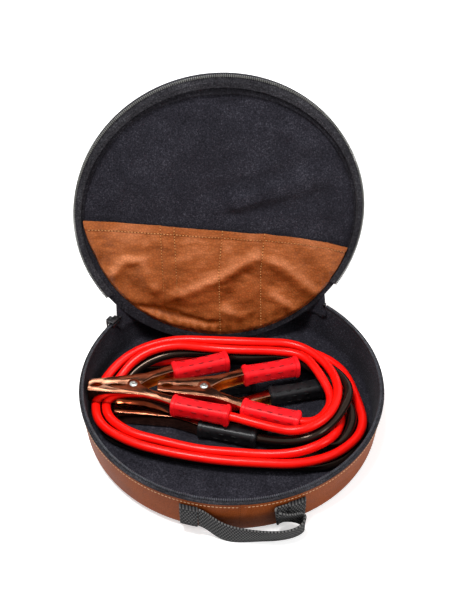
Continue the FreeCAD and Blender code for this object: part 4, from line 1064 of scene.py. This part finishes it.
# the needle's holes lie half a stitch on, as dark beads of painted shade
pocketHoles = beads("pocketHoles", [path[1:] for path in stitchPaths], "needleHole", pocketStitch["pitch"],
                    pocketStitch["hole"], pocketStitch["hole"])
pocketStitches = joinPieces("pocketStitches", [pocketThreads, pocketHoles])
settle(pocketStitches, "lid", "pocket_leather")

for boardName in ("lid_board", "base_floor_board"):
    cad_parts[boardName].data.materials.clear()
    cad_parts[boardName].data.materials.append(finishes["board"])
print("lid made")


# gusset between the cut-down rear wall and the open lid

gusset = {"thick": 1.6, "outer": 147.4, "inner": 143.4, "sag": 6.0, "seat": 0.65, "bends": 14,
          "wing": 98.0, "wingEnd": 106.0, "wingFoot": 47.0,
          "strips": (-112, -104, -96, -82, -64, -40, -14, 14, 40, 64, 82, 96, 104, 110)}


def gussetRing(x):
    # the cloth's section at a station, from the wall's top edge down and up to the lid's rear edge
    wing = max(0.0, min(1.0, (abs(x) - gusset["wing"]) / (gusset["wingEnd"] - gusset["wing"])))
    wall = depthAt(gusset["outer"] - 3.6 * wing, x)
    inner = depthAt(gusset["inner"] - wing, x)
    cutAt = depthAt(gusset["outer"], x)
    foot = min(rearHeight(cutAt, base["height"], base["rearHeight"]), gusset["wingFoot"]) + 0.2 - 0.8 * wing
    edge = lidPoint(x, depthAt(lid["radius"] - 1.5 * wing, x), lid["top"] - lid["round"])
    edgeRise = edge.z - (gusset["seat"] + gusset["thick"]) * (1 - wing) - 0.3 * wing
    sag = gusset["sag"] * (1 - (x / base["radius"]) ** 2) * (1 - wing)
    first, last = Vector((wall, foot)), Vector((edge.y, edgeRise))
    corner, hollow = Vector((inner, foot)), Vector(((inner + edge.y) / 2, (foot + edgeRise) / 2 - sag))
    half = (corner + hollow) / 2
    low = []
    for step in range(gusset["bends"] + 1):
        along = step / gusset["bends"] * 2
        low.append(curveAt(first, corner, half, along) if along <= 1 else curveAt(half, hollow, last, along - 1))
    ripple = 0.25 * cloudAt(x, 0, 12, 4.4)
    ring = [Vector((x, place.x, place.y + ripple * sin(pi * number / gusset["bends"])))
            for number, place in enumerate(low)]
    return ring + [Vector((x, place.x, place.y + gusset["thick"])) for place in reversed(low)]


for number, (first, last) in enumerate(zip(gusset["strips"], gusset["strips"][1:])):
    stations = max(2, round((last - first) / 3.5))
    rings = [gussetRing(first + (last - first) * step / stations) for step in range(stations + 1)]
    strip = loftedPiece("hingeGusset" + str(number), rings, "felt", sharp=50)
    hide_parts("hinge_gusset")
    # across the fold: square to the wall's edge and to the lid's edge alike
    footStart, footEnd = rings[0][0], rings[-1][0]
    lidStart, lidEnd = rings[0][gusset["bends"]], rings[-1][gusset["bends"]]
    across = (footEnd - footStart).cross(lidEnd - lidStart).normalized()
    span = (lidStart - footStart).dot(across)
    if abs(span) < 5.0:
        across = (lidStart + lidEnd - footStart - footEnd).normalized()
        span = ((lidStart + lidEnd - footStart - footEnd) / 2).dot(across)
    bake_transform(strip)
print("gusset made")


# handle: ribbed webbing, sewn at both ends

strap = {"wide": 24.0, "thick": 2.0, "cutLeft": -27.0, "cutRight": 43.0, "gap": 0.1, "out": 151.2}


def onWall(x):
    return -depthAt(strap["out"], x)


# x, y, z of the strap's middle, and how far its top leans to the right of its run, in degrees
strapRoute = [
    (-43.3, onWall(-43.3), 26.5, 0), (-39.5, onWall(-39.5) - 0.3, 25.6, 0), (-35.0, -147.2, 21.5, 0),
    (-29.5, -149.2, 16.6, 0), (-22.5, -152.5, 13.2, 0), (-13.0, -156.2, 12.4, 3), (-2.0, -158.4, 12.3, 9),
    (10.0, -159.8, 12.1, 15), (26.0, -161.4, 12.0, 18), (40.0, -160.0, 12.0, 18), (49.5, -155.4, 12.3, 12),
    (53.4, -149.6, 13.8, 0), (49.0, -146.4, 16.5, -14), (40.0, -148.0, 19.8, -24), (32.5, -150.2, 23.2, -22),
    (27.2, -151.6, 25.2, -12), (26.4, -149.8, 26.0, -4), (31.5, onWall(31.5), 26.3, 0), (38.5, onWall(38.5), 26.5, 0)]


def smoothPath(route, steps):
    # a smooth line that touches the middle of every run
    route = [Vector(point) for point in route]
    line = [route[0]]
    for index in range(1, len(route) - 1):
        before = route[0] if index == 1 else (route[index - 1] + route[index]) / 2
        after = route[-1] if index == len(route) - 2 else (route[index] + route[index + 1]) / 2
        line += [curveAt(before, route[index], after, step / steps) for step in range(1, steps + 1)]
    return line


strapLine = smoothPath(strapRoute, 9)
leftCut = next(index for index, point in enumerate(strapLine) if point.x > strap["cutLeft"])
rightCut = next(index for index, point in enumerate(strapLine) if point.x > strap["cutRight"])
# the webbing's section, in halves of its thickness and its width
crossing = [(across * strap["thick"] / 2, rise * strap["wide"] / 2) for across, rise in (
    (-1, -0.97), (-0.7, -1), (0.7, -1), (1, -0.97), (1, 0), (1, 0.97), (0.7, 1), (-0.7, 1), (-1, 0.97), (-1, 0))]


def pointAtX(line, index, x):
    before, after = line[index - 1], line[index]
    return before.lerp(after, (x - before.x) / (after.x - before.x))


def strapPart(name, line, startLength):
    # a length of webbing on its edge, with its UV map in millimetres
    places = [point.xyz for point in line]
    rings = []
    widths = []
    for index, middle in enumerate(places):
        heading = places[min(index + 1, len(places) - 1)] - places[max(index - 1, 0)]
        right = Vector((heading.y, -heading.x, 0)).normalized()
        lean = radians(line[index].w)
        width = Vector((0, 0, cos(lean))) + right * sin(lean)
        side = right * cos(lean) - Vector((0, 0, sin(lean)))
        widths.append(width)
        rings.append([tuple(middle + side * across + width * rise) for across, rise in crossing])
    piece = loftedPiece(name, rings, "webbing", sharp=50)
    lengths = [startLength]
    for before, after in zip(places, places[1:]):
        lengths.append(lengths[-1] + (after - before).length)
    layer = piece.data.uv_layers.new(name="weave")
    for loop in piece.data.loops:
        place = piece.data.vertices[loop.vertex_index].co / mm
        offsets = [place - middle for middle in places]
        nearest = min(range(len(places)), key=lambda number: (
            offsets[number].length_squared - offsets[number].dot(widths[number]) ** 2))
        layer.data[loop.index].uv = (lengths[nearest], offsets[nearest].dot(widths[nearest]))
    return piece, lengths[-1]


cutStart = pointAtX(strapLine, leftCut, strap["cutLeft"] - strap["gap"])
freeStart = pointAtX(strapLine, leftCut, strap["cutLeft"] + strap["gap"])
freeEnd = pointAtX(strapLine, rightCut, strap["cutRight"] - strap["gap"])
endStart = pointAtX(strapLine, rightCut, strap["cutRight"] + strap["gap"])
leftPart, run = strapPart("strapLeftEnd", strapLine[:leftCut] + [cutStart], 0.0)
freePart, run = strapPart("strapFree", [freeStart] + strapLine[leftCut:rightCut] + [freeEnd], run)
rightPart, run = strapPart("strapRightEnd", [endStart] + strapLine[rightCut:], run)
settle(leftPart, "case", "webbing", "handle_end_left")
settle(freePart, "handle", "webbing", "handle_strap")
settle(rightPart, "case", "webbing", "handle_end_right")

tab = {"half": 8.0, "foot": 14.6, "proud": 1.4, "left": -52.0, "right": 46.0, "columns": 16, "edge": 0.5,
       "stitchOut": 0.2, "stitchSteps": 8}
# up the front of a tab, and how far each point bulges, then down its back
tabFront = [(0, -0.8), (0.4, 0), (3, 0), (8, 0.15), (12.5, 0.2), (17, 0.15), (22, 0), (23.6, 0), (24, -0.8)]
tabBack = [24, 20, 14, 8, 4, 0]
# where its stitches run: round it and crosswise
tabCorners = [(-6.5, 2.5), (6.5, 2.5), (6.5, 22.5), (-6.5, 22.5), (-6.5, 2.5)]
tabRuns = list(zip(tabCorners, tabCorners[1:])) + [((-6.5, 2.5), (6.5, 22.5)), ((6.5, 2.5), (-6.5, 22.5))]


def sewnTab(name, middle, nodeName):
    outer = base["radius"] + 0.2 + strap["thick"] + tab["proud"]
    rings = []
    for step in range(tab["columns"] + 1):
        x = middle - tab["half"] + 2 * tab["half"] * step / tab["columns"]
        front = outer - (tab["edge"] if step in (0, tab["columns"]) else 0.0)
        ring = [(x, -depthAt(front + bulge, x), tab["foot"] + rise) for rise, bulge in tabFront]
        for rise in tabBack:
            wall = base["foot"] + wallLean * (tab["foot"] + rise - base["footRound"]) + 0.25
            ring.append((x, -depthAt(wall, x), tab["foot"] + rise))
        rings.append(ring)
    piece = loftedPiece(name, rings, "webbing", sharp=50)
    layer = piece.data.uv_layers.new(name="weave")
    for loop in piece.data.loops:
        place = piece.data.vertices[loop.vertex_index].co / mm
        layer.data[loop.index].uv = (place.x - middle, place.z)
    settle(piece, "case", "webbing", nodeName)
    paths = []
    for first, second in tabRuns:
        path = []
        for step in range(tab["stitchSteps"] + 1):
            x = middle + first[0] + (second[0] - first[0]) * step / tab["stitchSteps"]
            rise = tab["foot"] + first[1] + (second[1] - first[1]) * step / tab["stitchSteps"]
            path.append((x, -depthAt(outer + tab["stitchOut"], x), rise))
        paths.append(path)
    return paths


tabPaths = sewnTab("tabLeft", tab["left"], "handle_tab_left") + sewnTab("tabRight", tab["right"], "handle_tab_right")
tabStitches = beads("tabStitches", tabPaths, "blackThread", 2.4, 1.9, 0.6)
settle(tabStitches, "case", "webbing")
print("handle made")


# clamps: pressed jaws, rivet, spring and grips, drawn with the rivet at the middle

clamp = {"nose": 46.0, "reach": 38.0, "offset": 22.0, "slope": 15.3, "armDepth": 10.0, "inGrip": 46.0, "ear": 6.5,
         "width": 16.0, "plate": 1.0, "web": 1.3, "plateGap": 0.2, "rivet": 2.2, "rivetHead": 4.0, "headTall": 1.3,
         "edge": 0.32}
grip = {"length": 59.0, "width": 16.6, "depth": 18.4, "round": 5.0, "ring": 0.9, "ringLength": 3.6,
        "dashLength": 7.0, "dashWide": 2.2, "dashPitch": 10.4, "dashFrom": 8.6, "dashShift": 3.0, "dashRow": 3.6,
        "dashSink": 0.95}
spring = {"radius": 4.2, "wire": 0.65, "pitch": 2.0, "turns": 3.0, "lowerLean": 32.0, "upperLean": 20.0,
          "lowerLeg": 22.5, "upperLeg": 18.0, "steps": 72, "sides": 8}
places = {"red_left": ((-97.0, 8.5, 35.2), -4.0), "red_right": ((-27.5, -0.5, 35.2), -7.0),
          "black_left": ((-71.5, -4.5, 15.2), -4.0), "black_right": ((-1.5, -13.5, 15.2), -7.0)}
slope = tan(radians(clamp["slope"]))
halfArm = clamp["armDepth"] / 2 / cos(radians(clamp["slope"]))
armEnd = clamp["reach"] + clamp["inGrip"]


def armCentre(x):
    return clamp["offset"] + slope * (x - clamp["reach"])


def arcThrough(start, middle, end, steps):
    # points of the arc from start through middle to end, without its first point
    ax, ay = start
    bx, by = middle
    cx, cy = end
    d = 2 * (ax * (by - cy) + bx * (cy - ay) + cx * (ay - by))
    ux = ((ax ** 2 + ay ** 2) * (by - cy) + (bx ** 2 + by ** 2) * (cy - ay) + (cx ** 2 + cy ** 2) * (ay - by)) / d
    uy = ((ax ** 2 + ay ** 2) * (cx - bx) + (bx ** 2 + by ** 2) * (ax - cx) + (cx ** 2 + cy ** 2) * (bx - ax)) / d
    radius = hypot(ax - ux, ay - uy)
    first, second, last = (atan2(y - uy, x - ux) for x, y in (start, middle, end))
    sweep = (last - first) % (2 * pi)
    if (second - first) % (2 * pi) > sweep:
        sweep -= 2 * pi
    turns = [first + sweep * step / steps for step in range(1, steps + 1)]
    return [(ux + radius * cos(turn), uy + radius * sin(turn)) for turn in turns]


def drawnOutline(corners, side, steps=9):
    # corners of two numbers are points; four numbers end an arc through a middle point
    line = [corners[0]]
    for corner in corners[1:] + corners[:1]:
        if len(corner) == 4:
            line += arcThrough(line[-1], corner[:2], corner[2:], steps)
        elif corner != line[-1]:
            line.append(corner)
    if hypot(line[0][0] - line[-1][0], line[0][1] - line[-1][1]) < 1e-6:
        line.pop()
    return [(x, y * side) for x, y in line]


nose, reach, ear = clamp["nose"], clamp["reach"], clamp["ear"]
parting = 0.15
jawCorners = [
    (-nose, parting), (-nose + 3, parting), (-nose + 9.5, 3.3, -nose + 16, parting), (-nose + 19, parting),
    (-nose + 28, 1.9, -nose + 37.5, parting), (-ear, parting), (0, -ear, ear, parting), (ear + 1.0, 0.6),
    (reach - 21, 8.0), (reach - 2, armCentre(reach - 2) - halfArm), (armEnd, armCentre(armEnd) - halfArm),
    (armEnd, armCentre(armEnd) + halfArm), (reach, armCentre(reach) + halfArm), (reach - 14, 20.4, 10, 15.2),
    (-17, 11.6, -nose + 3.5, 8.4), (-nose + 0.9, 7.5, -nose, 5.0)]
web = clamp["web"]
farArm = armEnd + 10
channelCorners = [
    (-nose + web, -ear - 3), (-nose + web, 4.6), (-nose + web + 0.7, 6.4, -nose + 4.0, 8.4 - web),
    (-17, 11.6 - web, 10, 15.2 - web), (reach - 14, 20.4 - web, reach, armCentre(reach) + halfArm - web),
    (farArm, armCentre(farArm) + halfArm - web), (farArm, -ear - 3)]


def prismPiece(name, outline, half, finishName):
    return loftedPiece(name, [[(x, y, level) for x, y in outline] for level in (-half, half)], finishName)


def jawHalf(name, side, halfWidth):
    body = prismPiece(name, drawnOutline(jawCorners, side), halfWidth, "copperPlate")
    channel = prismPiece(name + "Channel", drawnOutline(channelCorners, side), halfWidth - clamp["plate"],
                         "brassInside")
    cut = body.modifiers.new("channel", "BOOLEAN")
    cut.object = channel
    cut.operation = "DIFFERENCE"
    cut.solver = "EXACT"
    cut.material_mode = "TRANSFER"
    easeEdges(body, clamp["edge"], sharp=32)
    bpy.data.objects.remove(channel)
    return body


def clampRivet(name):
    # a shaft with a domed head at each end, with a dimple in the middle of each
    half = clamp["width"] / 2
    head = clamp["rivetHead"]
    tall = clamp["headTall"]
    dome = [(0, half + tall * 0.82), (0.8, half + tall * 0.86), (1.3, half + tall), (head * 0.55, half + tall * 0.95),
            (head * 0.85, half + tall * 0.6), (head, half + 0.15), (head, half), (clamp["rivet"], half)]
    section = dome + [(across, -rise) for across, rise in reversed(dome)]
    return turnedPiece(name, section, evenAngles(-180, 180, 28), "rivetSteel")


def tubeAlong(name, line, radius, sides, finishName):
    # a round bar along points in millimetres
    rings = []
    for index, middle in enumerate(line):
        heading = (line[min(index + 1, len(line) - 1)] - line[max(index - 1, 0)]).normalized()
        side = Vector((0, 0, 1)).cross(heading).normalized()
        lift = heading.cross(side)
        rings.append([tuple(middle + (side * cos(turn) + lift * sin(turn)) * radius)
                      for turn in (2 * pi * step / sides for step in range(sides))])
    return loftedPiece(name, rings, finishName)


def clampSpring(name):
    first = -90.0 - spring["lowerLean"]
    turning = 360.0 * spring["turns"] + 180.0 - spring["lowerLean"] - spring["upperLean"]
    low = -spring["pitch"] * turning / 720.0
    line = []
    count = spring["steps"]
    for step in range(count + 1):
        turn = radians(first - turning * step / count)
        line.append(Vector((cos(turn) * spring["radius"], sin(turn) * spring["radius"],
                            low + spring["pitch"] * turning / 360.0 * step / count)))
    # the legs leave the coil along its ends
    startWay, endWay = (Vector((-sin(turn), cos(turn), 0)) for turn in (radians(first), radians(first - turning)))
    line.insert(0, line[0] + startWay * spring["lowerLeg"])
    line.append(line[-1] - endWay * spring["upperLeg"])
    return tubeAlong(name, line, spring["wire"], spring["sides"], "rivetSteel")


def gripRing(x, grow):
    # the rounded section of the sleeve at a station, grown or shrunk all round
    wide = grip["width"] / 2 + grow
    deep = grip["depth"] / 2 + grow
    corner = grip["round"] + max(0.0, grow)
    ring = []
    for quarter, (ySide, zSide) in enumerate(((1, 1), (-1, 1), (-1, -1), (1, -1))):
        for step in range(7):
            turn = radians(90 * quarter + 15 * step)
            ring.append((x, ySide * (wide - corner) + corner * cos(turn),
                         zSide * (deep - corner) + corner * sin(turn)))
    return ring


def gripPlace(side):
    return (Matrix.Translation((clamp["reach"] * mm, side * clamp["offset"] * mm, 0))
            @ Matrix.Rotation(radians(side * clamp["slope"]), 4, "Z"))


def clampGrip(name, side, finishName):
    length = grip["length"]
    ringLength = grip["ringLength"]
    ring = grip["ring"]
    stations = [(0, -1.4), (0.3, -0.5), (0.9, 0), (1.2, 0.0), (1.5, ring), (1.2 + ringLength - 0.3, ring),
                (1.2 + ringLength, 0.0), (10, -0.25), (22, -0.5), (36, -0.5), (48, -0.25)]
    stations += [(length - x, grow) for x, grow in reversed(stations[:7])]
    sleeve = loftedPiece(name, [gripRing(x, grow) for x, grow in stations], finishName, sharp=50)
    paths = []
    last = length - grip["dashFrom"]
    for row in (-grip["dashRow"], grip["dashRow"]):
        first = grip["dashFrom"] + (grip["dashShift"] if row > 0 else 0.0)
        for face in (-1, 1):
            level = face * (grip["depth"] / 2 - grip["dashSink"])
            beside = face * (grip["width"] / 2 - grip["dashSink"])
            paths += [[(first, row, level), (last, row, level)], [(first, beside, row), (last, beside, row)]]
    # the dashes take the darker slot colour, painted shade in the grooves
    dashes = beads(name + "Dashes", paths, finishName.replace("Grip", "Slot"), grip["dashPitch"],
                   grip["dashLength"], grip["dashWide"])
    joined = joinPieces(name, [sleeve, dashes])
    joined.data.transform(gripPlace(side))
    return joined


outerHalf = clamp["width"] / 2
innerHalf = outerHalf - clamp["plate"] - clamp["plateGap"]
for clampName, (rivetAt, heading) in places.items():
    there = Matrix.Translation(Vector(rivetAt) * mm) @ Matrix.Rotation(radians(heading), 4, "Z")
    colour = clampName.split("_")[0]
    handleBody = clampName + "_handle"
    made = [
        (jawHalf(clampName + "LowerJaw", -1, outerHalf), "leads", "copper", "_lower_jaw"),
        (jawHalf(clampName + "UpperJaw", 1, innerHalf), handleBody, "copper", "_upper_jaw"),
        (clampRivet(clampName + "Rivet"), "leads", "rivet_steel", "_rivet"),
        (clampSpring(clampName + "Spring"), "leads", "spring_steel", "_spring"),
        (clampGrip(clampName + "LowerGrip", -1, colour + "Grip"), "leads", colour + "_grip", "_lower_grip"),
        (clampGrip(clampName + "UpperGrip", 1, colour + "Grip"), handleBody, colour + "_grip", "_upper_grip"),
    ]
    for piece, body, slotName, nodeEnd in made:
        piece.data.transform(there)
        settle(piece, body, slotName, clampName + nodeEnd)
print("clamps made")
